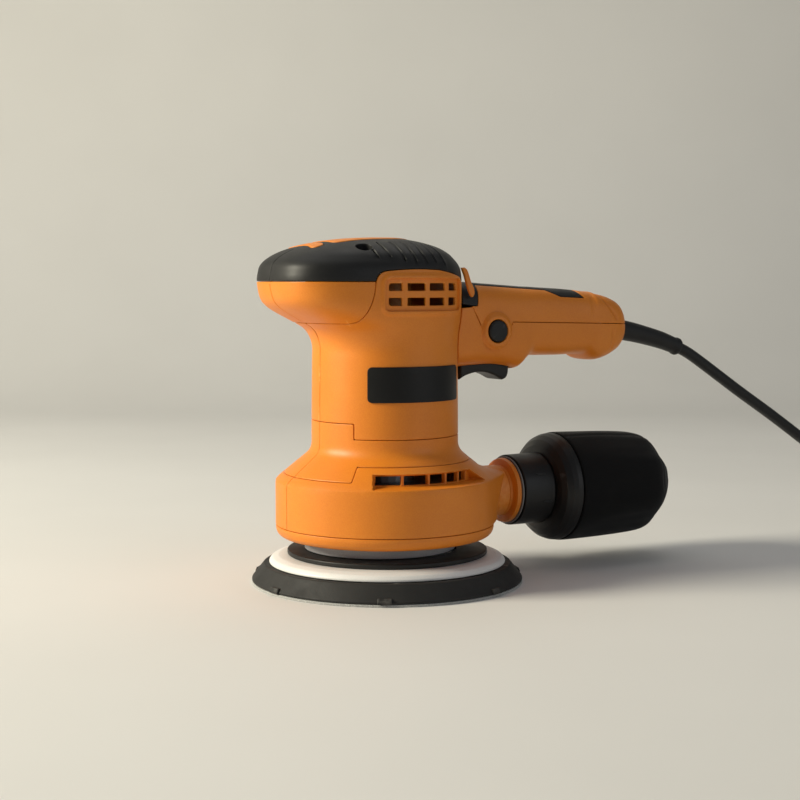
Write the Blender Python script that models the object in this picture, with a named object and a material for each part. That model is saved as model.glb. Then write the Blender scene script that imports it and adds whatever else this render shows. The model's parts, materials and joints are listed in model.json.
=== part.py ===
"""Electric random-orbit sander with a palm grip, a rear handle, a round sanding pad and a dust bag.

The sander stands on its pad. +Z is up and +X runs from the nose to the rear handle. The origin is on the
motor's axis, at the level of the sanding face. Sizes are in millimetres, and MM turns them into metres.
"""

from math import cos, pi, radians, sin

import bmesh
import bpy
from mathutils import Matrix, Vector

MM = 0.001

# Gap between pieces that touch, and the moulded wall.
GAP = 0.3
SEAM = GAP / 2
WALL = 2.6
FAR = 90.0

# Sanding pad, whose axis stands off the motor's axis by the orbit radius.
ORBIT = 1.25
ORBIT_ANGLE = radians(-30)
PAD_CENTRE = (ORBIT * cos(ORBIT_ANGLE), ORBIT * sin(ORBIT_ANGLE), 0.0)
PAD_RADIUS = 75.0
PAD_SIDES = 36
HOOK_THICKNESS = 1.3
DUST_HOLES = 8
DUST_HOLE_CIRCLE = 32.5
DUST_HOLE_RADIUS = 4.5
TABS = 7

# Motor.
SHAFT_RADIUS = 4.0
BORE_RADIUS = SHAFT_RADIUS + GAP

# Fan housing, with the duct that leaves it towards +X.
HOUSING_SIDES = 32
RIM_BOTTOM = 25.2
RIM_TOP = 32.4
DUCT_HEIGHT = 45.0
DUCT_BORE = 11.5
SHOULDER_STEP_X = (-40.9, -35.2)
SHOULDER_LOW = 61.2
SHOULDER_HIGH = 68.5
COLUMN_STEP_X = -32.5
COLUMN_LOW = 82.0
COLUMN_HIGH = 90.3

# Head and column: height, reach to the front, half width, reach to the rear, bluntness of the nose.
BODY_SIDES = 26
BODY_LEVELS = (
    (76.0, 40.5, 40.5, 40.5, 2.0),
    (131.0, 40.1, 40.1, 40.1, 2.0),
    (137.0, 42.0, 40.6, 40.4, 2.1),
    (141.0, 45.0, 41.0, 41.0, 2.3),
    (144.5, 51.0, 41.4, 41.5, 2.6),
    (149.0, 59.4, 41.8, 42.0, 2.9),
    (152.5, 64.6, 42.0, 42.2, 3.1),
    (157.0, 68.0, 42.2, 42.2, 3.2),
    (165.7, 69.8, 42.3, 42.2, 3.2),
    (171.0, 69.2, 41.9, 41.6, 3.2),
    (174.3, 68.2, 41.0, 40.5, 3.2),
    (177.5, 65.5, 39.0, 38.0, 3.1),
    (181.0, 59.8, 36.0, 34.2, 3.0),
    (184.3, 51.0, 30.2, 28.2, 2.8),
    (187.0, 38.5, 22.0, 18.8, 2.6),
    (189.4, 13.0, 7.0, 4.0, 2.2),
)
GRIP_BOTTOM = 165.7
CHIN = 143.35
VENT_X = (-22.5, 28.0)
VENT_Z = (150.5, 167.0)

# Rear handle: distance back, top, bottom, half width.
HANDLE_SIDES = 20
HANDLE_LEVELS = (
    (34.0, 166.3, 117.4, 22.5),
    (50.0, 165.4, 118.4, 21.6),
    (62.0, 164.6, 118.6, 20.6),
    (76.0, 163.7, 116.6, 19.6),
    (81.5, 163.3, 115.8, 19.2),
    (88.5, 162.9, 123.0, 18.7),
    (110.0, 161.8, 123.0, 18.3),
    (121.0, 160.9, 123.5, 18.3),
    (125.5, 160.4, 120.9, 18.6),
    (131.0, 159.7, 119.7, 19.0),
    (137.0, 158.7, 119.8, 19.0),
    (144.0, 157.0, 122.2, 18.7),
    (150.0, 154.0, 125.6, 17.4),
    (155.0, 149.8, 128.8, 14.8),
    (158.2, 145.6, 131.4, 11.4),
    (159.3, 143.9, 132.4, 9.8),
)
HANDLE_PARTING = (
    (43.5, 151.8), (51.3, 138.6), (68.9, 138.3), (72.1, 143.0), (104.6, 142.2), (175.0, 140.5),
)
BUTTON_X = 59.6
BUTTON_Z = 138.1
BUTTON_RADIUS = 6.1
TRIGGER_PIVOT = (46.3, 122.6)
TRIGGER_HALF = 9.0

# Dust bag, on the duct's axis.
SLEEVE_START = 81.2
SLEEVE_END = 101.6
BELL_END = 113.9
BAG_END = 195.4
BAG_SIDES = 20

# Power cord, from the rear handle down to the table, and its coil.
CORD_RADIUS = 3.5
BOOT_LINE = ((154.0, 137.2), (161.5, 136.8), (170.0, 135.5), (180.0, 133.4), (194.0, 129.9), (207.5, 125.4))
CORD_LINE = (
    (207.8, 125.25), (216.0, 121.6), (226.0, 115.9), (242.0, 106.2), (259.5, 95.6), (285.4, 80.5),
    (312.1, 64.2), (338.0, 47.8), (362.0, 33.0), (384.0, 20.4), (402.0, 11.6), (418.0, 6.0), (434.0, 3.6),
)
COIL_INNER = 25.5
COIL_OUTER = 53.5
COIL_HEIGHT = 14.2
COIL_CENTRE = (CORD_LINE[-1][0], -(COIL_OUTER + GAP + CORD_RADIUS))
PLUG_LEVEL = 9.6
PLUG_Y = COIL_CENTRE[1] - 46.5
PLUG_BACK = COIL_CENTRE[0] - 33.5


def clear_scene():
    for obj in list(bpy.data.objects):
        bpy.data.objects.remove(obj, do_unlink=True)


def make_material(name, colour, roughness, metallic=0.0):
    material = bpy.data.materials.new(name)
    material.use_nodes = True
    shader = material.node_tree.nodes["Principled BSDF"]
    shader.inputs["Base Color"].default_value = (*colour, 1.0)
    shader.inputs["Roughness"].default_value = roughness
    shader.inputs["Metallic"].default_value = metallic
    return material


# Each shape below is a pair: its points in millimetres, and its faces as point numbers.


def turned(profile, centre=(0.0, 0.0, 0.0), axis="Z", sides=32):
    """A closed profile of (radius, height) points, turned about an axis through the centre."""
    points = []
    for radius, height in profile:
        for step in range(sides):
            angle = 2 * pi * (step + 0.5) / sides
            across = radius * cos(angle)
            along = radius * sin(angle)
            offset = {
                "X": (height, across, along),
                "Y": (along, height, across),
                "Z": (across, along, height),
            }[axis]
            points.append(tuple(place + move for place, move in zip(centre, offset)))
    faces = []
    for row in range(len(profile)):
        following = (row + 1) % len(profile)
        if profile[row][0] == profile[following][0] == 0:
            continue
        for step in range(sides):
            beside = (step + 1) % sides
            near = (row * sides + step, row * sides + beside)
            faces.append((*near, following * sides + beside, following * sides + step))
    return points, faces


def lofted(rings):
    """A solid through a row of rings that have the same number of points, with both ends closed."""
    count = len(rings[0])
    points = [point for ring in rings for point in ring]
    faces = [tuple(range(count)), tuple(range(len(points) - count, len(points)))]
    for row in range(len(rings) - 1):
        for step in range(count):
            beside = (step + 1) % count
            low = row * count
            faces.append((low + step, low + beside, low + count + beside, low + count + step))
    return points, faces


def prism(outline, low, high, axis="Y"):
    """An outline drawn across an axis and extruded along it."""
    place = {
        "X": lambda pair, level: (level, pair[0], pair[1]),
        "Y": lambda pair, level: (pair[0], level, pair[1]),
        "Z": lambda pair, level: (pair[0], pair[1], level),
    }[axis]
    return lofted([[place(pair, level) for pair in outline] for level in (low, high)])


def block(x_range, y_range, z_range):
    outline = [(x_range[i], z_range[j]) for i, j in ((0, 0), (1, 0), (1, 1), (0, 1))]
    return prism(outline, y_range[0], y_range[1])


def joined(shapes):
    """Several shapes that don't touch, as one set of points and faces."""
    points = []
    faces = []
    for some_points, some_faces in shapes:
        first = len(points)
        points.extend(some_points)
        faces.extend(tuple(first + number for number in face) for face in some_faces)
    return points, faces


def spun(shape, angle, centre=(0.0, 0.0, 0.0)):
    """The shape turned about the vertical line through the centre."""
    turn = Matrix.Rotation(angle, 3, "Z")
    middle = Vector(centre)
    return [tuple(turn @ (Vector(point) - middle) + middle) for point in shape[0]], shape[1]


def add_mesh(name, shape, origin=(0.0, 0.0, 0.0)):
    mesh = bpy.data.meshes.new(name)
    base = Vector(origin)
    mesh.from_pydata([(Vector(point) - base) * MM for point in shape[0]], [], shape[1])
    work = bmesh.new()
    work.from_mesh(mesh)
    bmesh.ops.remove_doubles(work, verts=work.verts, dist=1e-6)
    bmesh.ops.recalc_face_normals(work, faces=work.faces)
    work.to_mesh(mesh)
    work.free()
    obj = bpy.data.objects.new(name, mesh)
    obj.location = base * MM
    bpy.context.scene.collection.objects.link(obj)
    return obj


def add_piece(name, shape, material, origin=(0.0, 0.0, 0.0)):
    obj = add_mesh(name, shape, origin)
    obj.data.materials.append(material)
    obj.data.shade_smooth()
    obj.data.set_sharp_from_angle(angle=radians(35))
    return obj


def carve(obj, operation, shape, label):
    """Adds a Boolean with a hidden helper object."""
    helper = add_mesh(f"{obj.name}_{label}", shape)
    helper.hide_render = True
    helper.display_type = "WIRE"
    modifier = obj.modifiers.new(label, "BOOLEAN")
    modifier.operation = operation
    modifier.solver = "EXACT"
    modifier.object = helper


def smooth_line(knots, spacing):
    """Points at even steps on a Catmull-Rom curve through the knots."""
    vectors = [Vector(knot) for knot in knots]
    ends = [2 * vectors[0] - vectors[1], *vectors, 2 * vectors[-1] - vectors[-2]]
    dense = []
    for first, second, third, fourth in zip(ends, ends[1:], ends[2:], ends[3:]):
        for step in range(20):
            t = step / 20
            curve = 2 * second + (third - first) * t
            curve += (2 * first - 5 * second + 4 * third - fourth) * t * t
            curve += (3 * second - first - 3 * third + fourth) * t * t * t
            dense.append(curve / 2)
    dense.append(vectors[-1])
    length = sum((b - a).length for a, b in zip(dense, dense[1:]))
    count = round(length / spacing)
    line = [dense[0]]
    travelled = 0.0
    for start, end in zip(dense, dense[1:]):
        piece = (end - start).length
        while len(line) < count and travelled + piece >= length * len(line) / count:
            share = (length * len(line) / count - travelled) / piece
            line.append(start.lerp(end, share))
        travelled += piece
    return [*line, dense[-1]]


# The outside of the head and the column, and of the handle.


def power(value, exponent):
    return abs(value) ** exponent * (1 if value >= 0 else -1)


def body_shape(inset=0.0):
    """The head and column as one solid: a round column that widens into a blunt nose and a domed top.

    An inset takes as much off the top of the dome as off the sides.
    """
    rings = []
    for height, front, half, rear, blunt in BODY_LEVELS:
        ring = []
        drop = inset * max(0.0, min(1.0, (height - GRIP_BOTTOM) / 10))
        for step in range(BODY_SIDES):
            angle = 2 * pi * (step + 0.5) / BODY_SIDES
            sharpness = 2 / blunt if cos(angle) < 0 else 1.0
            reach = (front if cos(angle) < 0 else rear) - inset
            across = power(sin(angle), sharpness) * (half - inset)
            ring.append((power(cos(angle), sharpness) * reach, across, height - drop))
        rings.append(ring)
    return lofted(rings)


def handle_shape(inset=0.0):
    """The handle as one solid: rounded rectangles along X, deeper at the root and at the end bulb."""
    rings = []
    for place, top, bottom, half in HANDLE_LEVELS:
        middle = (top + bottom) / 2
        ring = []
        for step in range(HANDLE_SIDES):
            angle = 2 * pi * (step + 0.5) / HANDLE_SIDES
            across = power(cos(angle), 0.6) * (half - inset)
            up = power(sin(angle), 0.6) * ((top - bottom) / 2 - inset)
            ring.append((place - inset, across, middle + up))
        rings.append(ring)
    return lofted(rings)


def shifted(outline, x_move, z_move):
    return [(x + x_move, z + z_move) for x, z in outline]


def body_piece(name, outline, y_range, material, skin=0.0):
    """A piece of the head and column wall, inside an outline drawn on the side view."""
    obj = add_piece(name, body_shape(skin), material)
    carve(obj, "DIFFERENCE", body_shape(WALL), "cavity")
    carve(obj, "INTERSECT", prism(outline, *y_range), "outline")
    return obj


def side_range(side):
    """The half of the body on one side of the middle seam: -1 is left, the side of the lock button."""
    return (-FAR, -SEAM) if side < 0 else (SEAM, FAR)


NOSE_LINE = ((-38.2, CHIN), (-34.8, 145.3), (-31.5, 151.9), (-29.3, 159.0), (-28.5, GRIP_BOTTOM))
SIDE_TAB = (
    (-26.6, 169.0), (-22.0, 171.0), (-3.0, 172.2), (10.5, 171.8), (20.4, 170.2), (30.1, 167.2),
    (31.6, GRIP_BOTTOM),
)


def make_head(materials):
    orange = materials["orange_plastic"]
    nose = [(-FAR, CHIN + SEAM), *shifted(NOSE_LINE, -SEAM, SEAM)[:-1]]
    nose += [(NOSE_LINE[-1][0] - SEAM, GRIP_BOTTOM - SEAM), (-FAR, GRIP_BOTTOM - SEAM)]
    body_piece("nose_shell", nose, (-FAR, FAR), orange)
    for side, label in ((-1, "left"), (1, "right")):
        outline = [(-FAR, COLUMN_HIGH + SEAM), (COLUMN_STEP_X + SEAM, COLUMN_HIGH + SEAM)]
        outline += [(COLUMN_STEP_X + SEAM, COLUMN_LOW + SEAM), (FAR, COLUMN_LOW + SEAM)]
        outline += [(FAR, GRIP_BOTTOM - SEAM)]
        outline += [(SIDE_TAB[-1][0], GRIP_BOTTOM - SEAM), *reversed(SIDE_TAB[:-1])]
        outline += [*shifted(reversed(NOSE_LINE), SEAM, -SEAM), (-FAR, CHIN - SEAM)]
        housing = body_piece(f"motor_housing_{label}", outline, side_range(side), orange)
        across = sorted((side * 30, side * 60))
        window = block((VENT_X[0] - GAP, VENT_X[1] + GAP), across, (VENT_Z[0] - GAP, VENT_Z[1] + GAP))
        carve(housing, "DIFFERENCE", window, "vent_window")
        if side > 0:
            hole = turned(((0, 30), (2.2, 30), (2.2, 50), (0, 50)), (0, 0, 133), "Y", 10)
            carve(housing, "DIFFERENCE", hole, "screw_hole")
        make_vent_grille(side, label, orange)
    make_palm_grip(materials)


def make_vent_grille(side, label, material):
    outline = [(VENT_X[i], VENT_Z[j]) for i, j in ((0, 0), (1, 0), (1, 1), (0, 1))]
    grille = body_piece(f"vent_grille_{label}", outline, sorted((side * 30, side * 60)), material, 0.9)
    slots = []
    for x_range in ((-21.0, -13.1), (-9.7, 1.2), (4.1, 15.0), (18.4, 25.8)):
        for z_range in ((153.0, 157.1), (160.9, 164.9)):
            slots.append(block(x_range, sorted((side * 30, side * 60)), z_range))
    carve(grille, "DIFFERENCE", joined(slots), "slots")


FRONT_INLAY = (
    (-47.3, 0.0), (-48.4, 5.0), (-50.9, 9.0), (-52.2, 13.0), (-51.0, 15.8), (-48.0, 16.4), (-44.6, 14.4),
    (-42.6, 10.0), (-41.4, 5.0), (-40.9, 0.0),
)
REAR_INLAY = (
    (-36.6, 0.0), (-37.0, 6.0), (-38.2, 12.0), (-36.8, 14.8), (-33.0, 14.9), (-27.0, 13.4), (-14.0, 13.2),
    (-2.0, 12.8), (6.0, 10.6), (11.0, 6.4), (13.0, 0.0),
)


def inlay_outline(half, grow=0.0):
    """A closed outline from one half of a shape on the middle of the grip, moved outwards by grow."""
    loop = [*half, *((x, -y) for x, y in reversed(half[1:-1]))]
    made = []
    for number, (x, y) in enumerate(loop):
        last = Vector(loop[number - 1])
        following = Vector(loop[(number + 1) % len(loop)])
        run = (Vector((x, y)) - last).normalized() + (following - Vector((x, y))).normalized()
        run.normalize()
        made.append((x - run.y * grow, y + run.x * grow))
    return made


def make_palm_grip(materials):
    above = [(-FAR, GRIP_BOTTOM + SEAM), (FAR, GRIP_BOTTOM + SEAM), (FAR, 200.0), (-FAR, 200.0)]
    grip = body_piece("palm_grip", above, (-FAR, FAR), materials["soft_black"])
    notch = [(NOSE_LINE[-1][0] - SEAM, 160.0), *shifted(NOSE_LINE[-1:], -SEAM, 0)]
    notch += [*shifted(SIDE_TAB[:2], -GAP, GAP), *shifted(SIDE_TAB[2:3], 0, GAP)]
    notch += [*shifted(SIDE_TAB[3:], GAP, GAP)]
    notch += [(SIDE_TAB[-1][0] + GAP, 160.0)]
    carve(grip, "DIFFERENCE", joined([prism(notch, -60, -20), prism(notch, 20, 60)]), "notches")
    for label, half in (("front", FRONT_INLAY), ("rear", REAR_INLAY)):
        carve(grip, "DIFFERENCE", prism(inlay_outline(half, GAP), 170, 200, "Z"), f"{label}_slot")
        inlay = add_piece(f"grip_inlay_{label}", body_shape(), materials["orange_plastic"])
        carve(inlay, "DIFFERENCE", body_shape(WALL), "cavity")
        carve(inlay, "INTERSECT", prism(inlay_outline(half), 170, 200, "Z"), "outline")
    screw_place = (-28.5, -28.5, 0.0)
    well = turned(((0, 175), (4.5, 175), (4.5, 195), (0, 195)), screw_place, "Z", 16)
    carve(grip, "DIFFERENCE", well, "screw_well")
    screw = ((0, 170), (1.5, 170), (1.5, 178.2), (2.9, 178.2), (2.9, 180.6), (0, 180.6))
    add_piece("grip_screw", turned(screw, screw_place, "Z", 12), materials["dark_steel"])


SHELL_OUTER = (
    (60.3, 32.5), (60.5, 38.0), (60.5, 56.4), (59.7, 58.0), (58.2, 59.3), (55.6, 61.4), (47.0, 68.4),
    (43.0, 71.8), (41.3, 74.4), (40.6, 77.6), (40.5, 94.0),
)
SHELL_INNER = (
    (37.8, 94.0), (37.8, 77.0), (38.7, 73.4), (40.8, 70.0), (45.2, 66.4), (54.0, 59.4), (57.7, 55.4),
    (57.7, 32.5),
)


def duct_fairing():
    """The straight-sided block that carries the round housing over to the end of the duct."""
    arc = [radians(-44 + 8 * step) for step in range(12)]
    inner = [(59.0 * cos(angle), 59.0 * sin(angle)) for angle in arc]
    return prism([*inner, (71.5, 14.0), (71.5, -14.0)], 32.9, 56.9, "Z")


def make_fan_housing(materials):
    orange = materials["orange_plastic"]
    rim = ((45.5, RIM_BOTTOM), (54.0, RIM_BOTTOM), (57.6, 26.2), (59.6, 28.0), (60.3, 30.5), (60.3, RIM_TOP))
    rim += ((57.7, RIM_TOP), (57.7, 27.7), (45.5, 27.7))
    add_piece("fan_housing_rim", turned(rim, sides=HOUSING_SIDES), orange)
    foot, head = SHOULDER_STEP_X
    below = [(-FAR, 30.0), (FAR, 30.0), (FAR, SHOULDER_HIGH - SEAM), (head + SEAM, SHOULDER_HIGH - SEAM)]
    below += [(foot + SEAM, SHOULDER_LOW - SEAM), (-FAR, SHOULDER_LOW - SEAM)]
    above = [(-FAR, SHOULDER_LOW + SEAM), (foot - SEAM, SHOULDER_LOW + SEAM)]
    above += [(head - SEAM, SHOULDER_HIGH + SEAM), (FAR, SHOULDER_HIGH + SEAM)]
    above += [(FAR, COLUMN_LOW - SEAM), (COLUMN_STEP_X - SEAM, COLUMN_LOW - SEAM)]
    above += [(COLUMN_STEP_X - SEAM, COLUMN_HIGH - SEAM), (-FAR, COLUMN_HIGH - SEAM)]
    duct = turned(((0, 58.2), (14.9, 58.2), (14.9, 74), (0, 74)), (0, 0, DUCT_HEIGHT), "X", 20)
    bore = turned(((0, 30), (DUCT_BORE, 30), (DUCT_BORE, 80), (0, 80)), (0, 0, DUCT_HEIGHT), "X", 16)
    rim_clear = turned(((0, 20), (60.7, 20), (60.7, 32.7), (0, 32.7)), sides=HOUSING_SIDES)
    for side, label in ((-1, "left"), (1, "right")):
        shell = turned(SHELL_OUTER + SHELL_INNER, sides=HOUSING_SIDES)
        housing = add_piece(f"fan_housing_{label}", shell, orange)
        carve(housing, "UNION", duct_fairing(), "fairing")
        carve(housing, "UNION", duct, "duct")
        carve(housing, "DIFFERENCE", rim_clear, "rim_clearance")
        carve(housing, "DIFFERENCE", bore, "bore")
        vents = []
        for start, end in ((234.8, 246.4), (250.2, 263.4), (265.2, 275.6), (277.4, 286.2), (288.0, 296.0)):
            middle = radians((start + end) / 2) * -side
            half = radians(end - start) / 2 * 54
            vents.append(spun(block((46, 66), (-half, half), (58.9, 64.4)), middle))
        carve(housing, "DIFFERENCE", joined(vents), "vents")
        carve(housing, "INTERSECT", prism(below, *side_range(side)), "outline")
        collar = add_piece(f"collar_{label}", shell, orange)
        carve(collar, "INTERSECT", prism(above, *side_range(side)), "outline")


def make_name_plate(materials):
    """A blank plate on the left of the column, with small cut corners."""
    start, end = radians(227.5), radians(314.5)
    rings = []
    for step in range(13):
        angle = start + (end - start) * step / 12
        cut = 1.5 if step in (0, 12) else 0.0
        low, high = 101.8 + cut, 120.7 - cut
        ring = [(40.7, low), (41.4, low), (41.4, high), (40.7, high)]
        rings.append([(radius * cos(angle), radius * sin(angle), height) for radius, height in ring])
    add_piece("name_plate", lofted(rings), materials["soft_black"])


def handle_piece(name, outline, material):
    obj = add_piece(name, handle_shape(), material)
    carve(obj, "DIFFERENCE", handle_shape(2.4), "cavity")
    carve(obj, "INTERSECT", prism(outline, -40, 40), "outline")
    return obj


def make_handle(materials):
    orange = materials["orange_plastic"]
    strip = [(50.3, 180.0), (50.3, 164.2), (98.5, 161.2), (107.5, 157.2)]
    strip += [(124.0, 156.4), (121.5, 160.4), (121.5, 180.0)]
    clear_strip = [(50.0, 180.0), (50.0, 163.9), (98.4, 160.9), (107.4, 156.9)]
    clear_strip += [(124.5, 156.1), (121.9, 160.4), (121.9, 180.0)]
    saddle = [(30.0, 152.4), (47.0, 152.4), (49.7, 166.0), (49.7, 180.0), (30.0, 180.0)]
    upper = [*shifted(HANDLE_PARTING, 0, SEAM), (175.0, 180.0), (50.0, 180.0), (50.0, 166.0)]
    upper += [(47.3, 152.1), (43.6, 152.1)]
    lower = [*shifted(HANDLE_PARTING, 0, -SEAM), (175.0, 100.0), (30.0, 100.0), (30.0, 151.8)]
    neck = turned(((0, 100), (40.9, 100), (40.9, 133), (42.9, 146), (42.9, 170), (0, 170)), sides=BODY_SIDES)
    dome = ((0, 165), (42.9, 165), (42.5, 170.5), (38.9, 179), (0, 192))
    top_clear = turned(dome, sides=BODY_SIDES)
    button_hole = turned(((0, -40), (8.9, -40), (8.9, -12), (0, -12)), (BUTTON_X, 0, BUTTON_Z), "Y", 16)
    boot_hole = turned(((0, 140), (6.9, 140), (6.9, 175), (0, 175)), (0, 0, 136.8), "X", 12)
    top_shell = handle_piece("handle_upper_shell", upper, orange)
    bottom_shell = handle_piece("handle_lower_shell", lower, orange)
    carve(top_shell, "DIFFERENCE", prism(clear_strip, -40, 40), "strip_seat")
    for shell in (top_shell, bottom_shell):
        carve(shell, "DIFFERENCE", neck, "neck")
        carve(shell, "DIFFERENCE", button_hole, "button_hole")
        carve(shell, "DIFFERENCE", boot_hole, "boot_hole")
    slot_half = TRIGGER_HALF + 0.5
    slot = block((42.9, 77.7), (-slot_half, slot_half), (100, 127.5))
    carve(bottom_shell, "DIFFERENCE", slot, "trigger_slot")
    carve(bottom_shell, "DIFFERENCE", block((43.9, 48.7), (-12.4, 12.4), (120.2, 126.5)), "pin_seat")
    handle_piece("handle_top_grip", strip, materials["soft_black"])
    cover = handle_piece("saddle_trim", saddle, materials["soft_black"])
    carve(cover, "DIFFERENCE", neck, "neck")
    carve(cover, "DIFFERENCE", top_clear, "dome")
    for side, label in ((-1, "left"), (1, "right")):
        fin = [(34.8, 173.3), (37.2, 173.6), (38.8, 172.0), (41.2, 165.6), (43.4, 161.6), (43.4, 158.0)]
        fin += [(42.4, 156.9), (41.2, 157.6), (39.5, 160.6), (37.6, 166.5)]
        add_piece(f"saddle_fin_{label}", prism(fin, *sorted((side * 22.7, side * 23.7))), orange)
    bezel = ((6.5, -17.6), (8.6, -17.6), (8.6, -22.0), (7.9, -22.7), (7.1, -22.7), (6.5, -22.1))
    centre = (BUTTON_X, 0, BUTTON_Z)
    add_piece("lock_button_bezel", turned(bezel, centre, "Y", 16), orange, centre)
    hole = turned(((0, 10), (2.0, 10), (2.0, 30), (0, 30)), (118.0, 0, 131.0), "Y", 10)
    carve(bottom_shell, "DIFFERENCE", hole, "screw_hole")
    head = ((0, 10), (1.6, 10), (1.6, 19.0), (3.0, 19.0), (3.0, 20.2), (2.4, 20.6), (0, 20.6))
    add_piece("handle_screw", turned(head, (118.0, 0, 131.0), "Y", 10), materials["dark_steel"])
    head = ((0, 30), (1.7, 30), (1.7, 40.9), (3.2, 40.9), (3.2, 42.2), (2.6, 42.6), (0, 42.6))
    add_piece("housing_screw", turned(head, (0, 0, 133.0), "Y", 10), materials["dark_steel"])


def make_controls(materials):
    black = materials["soft_black"]
    centre = (BUTTON_X, 0, BUTTON_Z)
    button = ((0, -12.0), (BUTTON_RADIUS, -12.0), (BUTTON_RADIUS, -23.0), (5.4, -23.7), (0, -23.9))
    add_piece("lock_button", turned(button, centre, "Y", 16), black, centre)
    spring = ((1.9, -8.5), (3.1, -8.5), (3.1, -11.7), (1.9, -11.7))
    add_piece("lock_spring", turned(spring, centre, "Y", 12), materials["bright_steel"], centre)
    pivot_x, pivot_z = TRIGGER_PIVOT
    pivot = (pivot_x, 0.0, pivot_z)
    outline = [(43.4, 111.7), (47.9, 113.5), (54.6, 114.6), (60.7, 114.3), (66.8, 112.3), (70.6, 110.3)]
    outline += [(72.8, 109.8), (74.9, 110.7), (76.3, 113.2), (76.6, 121.8), (52.0, 121.8), (49.5, 125.2)]
    outline += [(43.4, 125.2)]
    trigger = add_piece("trigger", prism(outline, -TRIGGER_HALF, TRIGGER_HALF), black, pivot)
    hole = turned(((0, -15), (1.5, -15), (1.5, 15), (0, 15)), pivot, "Y", 12)
    carve(trigger, "DIFFERENCE", hole, "pin_hole")
    pin = ((0, -12.0), (1.2, -12.0), (1.2, 12.0), (0, 12.0))
    add_piece("trigger_pin", turned(pin, pivot, "Y", 12), materials["bright_steel"])
    spring = ((1.9, 122.1), (3.1, 122.1), (3.1, 126.7), (1.9, 126.7))
    add_piece("trigger_spring", turned(spring, (68.0, 0, 0), "Z", 12), materials["bright_steel"])
    add_piece("switch_body", block((51.0, 84.0), (-8.2, 8.2), (127.0, 142.0)), materials["dark_plastic"])


def make_motor(materials):
    steel = materials["bright_steel"]
    shaft = ((0, 38.3), (SHAFT_RADIUS, 38.3), (SHAFT_RADIUS, 166.0), (0, 166.0))
    add_piece("motor_shaft", turned(shaft, sides=16), steel)
    lamination = ((BORE_RADIUS, 88.0), (15.0, 82.0), (17.5, 84.0), (17.5, 88.0), (20.0, 88.0), (20.0, 128.0))
    lamination += ((17.5, 128.0), (17.5, 132.5), (15.0, 134.5), (BORE_RADIUS, 128.0))
    add_piece("rotor_core", turned(lamination, sides=18), materials["dark_steel"])
    ring = ((BORE_RADIUS, 139.0), (11.0, 139.0), (11.0, 154.0), (BORE_RADIUS, 154.0))
    add_piece("commutator", turned(ring, sides=16), materials["copper"])
    stator = ((20.6, 88.0), (36.4, 88.0), (36.4, 128.0), (20.6, 128.0))
    add_piece("stator_core", turned(stator, sides=24), materials["dark_steel"])
    for name, low, high, outer in (("upper_bearing", 157.5, 164.5, 9.5), ("lower_bearing", 57.0, 65.0, 11.0)):
        ring = ((BORE_RADIUS, low), (outer, low), (outer, high), (BORE_RADIUS, high))
        add_piece(name, turned(ring, sides=16), steel)
    plate = ((11.3, 54.5), (53.0, 54.5), (53.0, 56.5), (16.0, 56.5), (16.0, 66.0), (11.3, 66.0))
    add_piece("bearing_plate", turned(plate, sides=24), materials["cast_aluminium"])
    for side, label in ((-1, "left"), (1, "right")):
        brush = block((-3.2, 3.2), sorted((side * 11.4, side * 26.0)), (142.5, 150.5))
        add_piece(f"carbon_brush_{label}", brush, materials["dark_plastic"])
    make_dust_fan(materials)
    make_counterweight(materials)


def make_dust_fan(materials):
    disc = ((BORE_RADIUS, 38.6), (10.0, 38.6), (12.0, 48.5), (49.0, 50.2), (49.0, 52.0), (BORE_RADIUS, 52.0))
    fan = add_piece("dust_fan", turned(disc, sides=24), materials["dark_plastic"])
    blades = [spun(block((20, 48), (-0.8, 0.8), (38.6, 50.6)), 2 * pi * step / 8) for step in range(8)]
    carve(fan, "UNION", joined(blades), "blades")


def make_counterweight(materials):
    """The eccentric block: a round hub with a heavy half disc opposite to the pad's offset."""
    hub = turned(((0, 22.5), (15.0, 22.5), (15.0, 38.0), (0, 38.0)), sides=24)
    weight = add_piece("counterweight", hub, materials["cast_aluminium"])
    arc = [ORBIT_ANGLE + pi / 2 + pi * (0.4 + step) / 10.8 for step in range(11)]
    half_disc = [(31.0 * cos(angle), 31.0 * sin(angle)) for angle in arc]
    carve(weight, "UNION", prism(half_disc, 30.5, 36.0, "Z"), "half_disc")
    pocket = turned(((0, 15), (9.9, 15), (9.9, 32.3), (0, 32.3)), PAD_CENTRE, sides=14)
    carve(weight, "DIFFERENCE", pocket, "bearing_pocket")
    bearing = ((BORE_RADIUS, 23.0), (9.5, 23.0), (9.5, 32.0), (BORE_RADIUS, 32.0))
    add_piece("pad_bearing", turned(bearing, PAD_CENTRE, sides=14), materials["bright_steel"], PAD_CENTRE)


def dust_holes():
    holes = []
    for step in range(DUST_HOLES):
        angle = 2 * pi * (step + 0.5) / DUST_HOLES
        across, along = DUST_HOLE_CIRCLE * cos(angle), DUST_HOLE_CIRCLE * sin(angle)
        centre = [PAD_CENTRE[0] + across, PAD_CENTRE[1] + along, 0]
        hole = ((0, -5), (DUST_HOLE_RADIUS, -5), (DUST_HOLE_RADIUS, 25), (0, 25))
        holes.append(turned(hole, centre, sides=6))
    return joined(holes)


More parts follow.
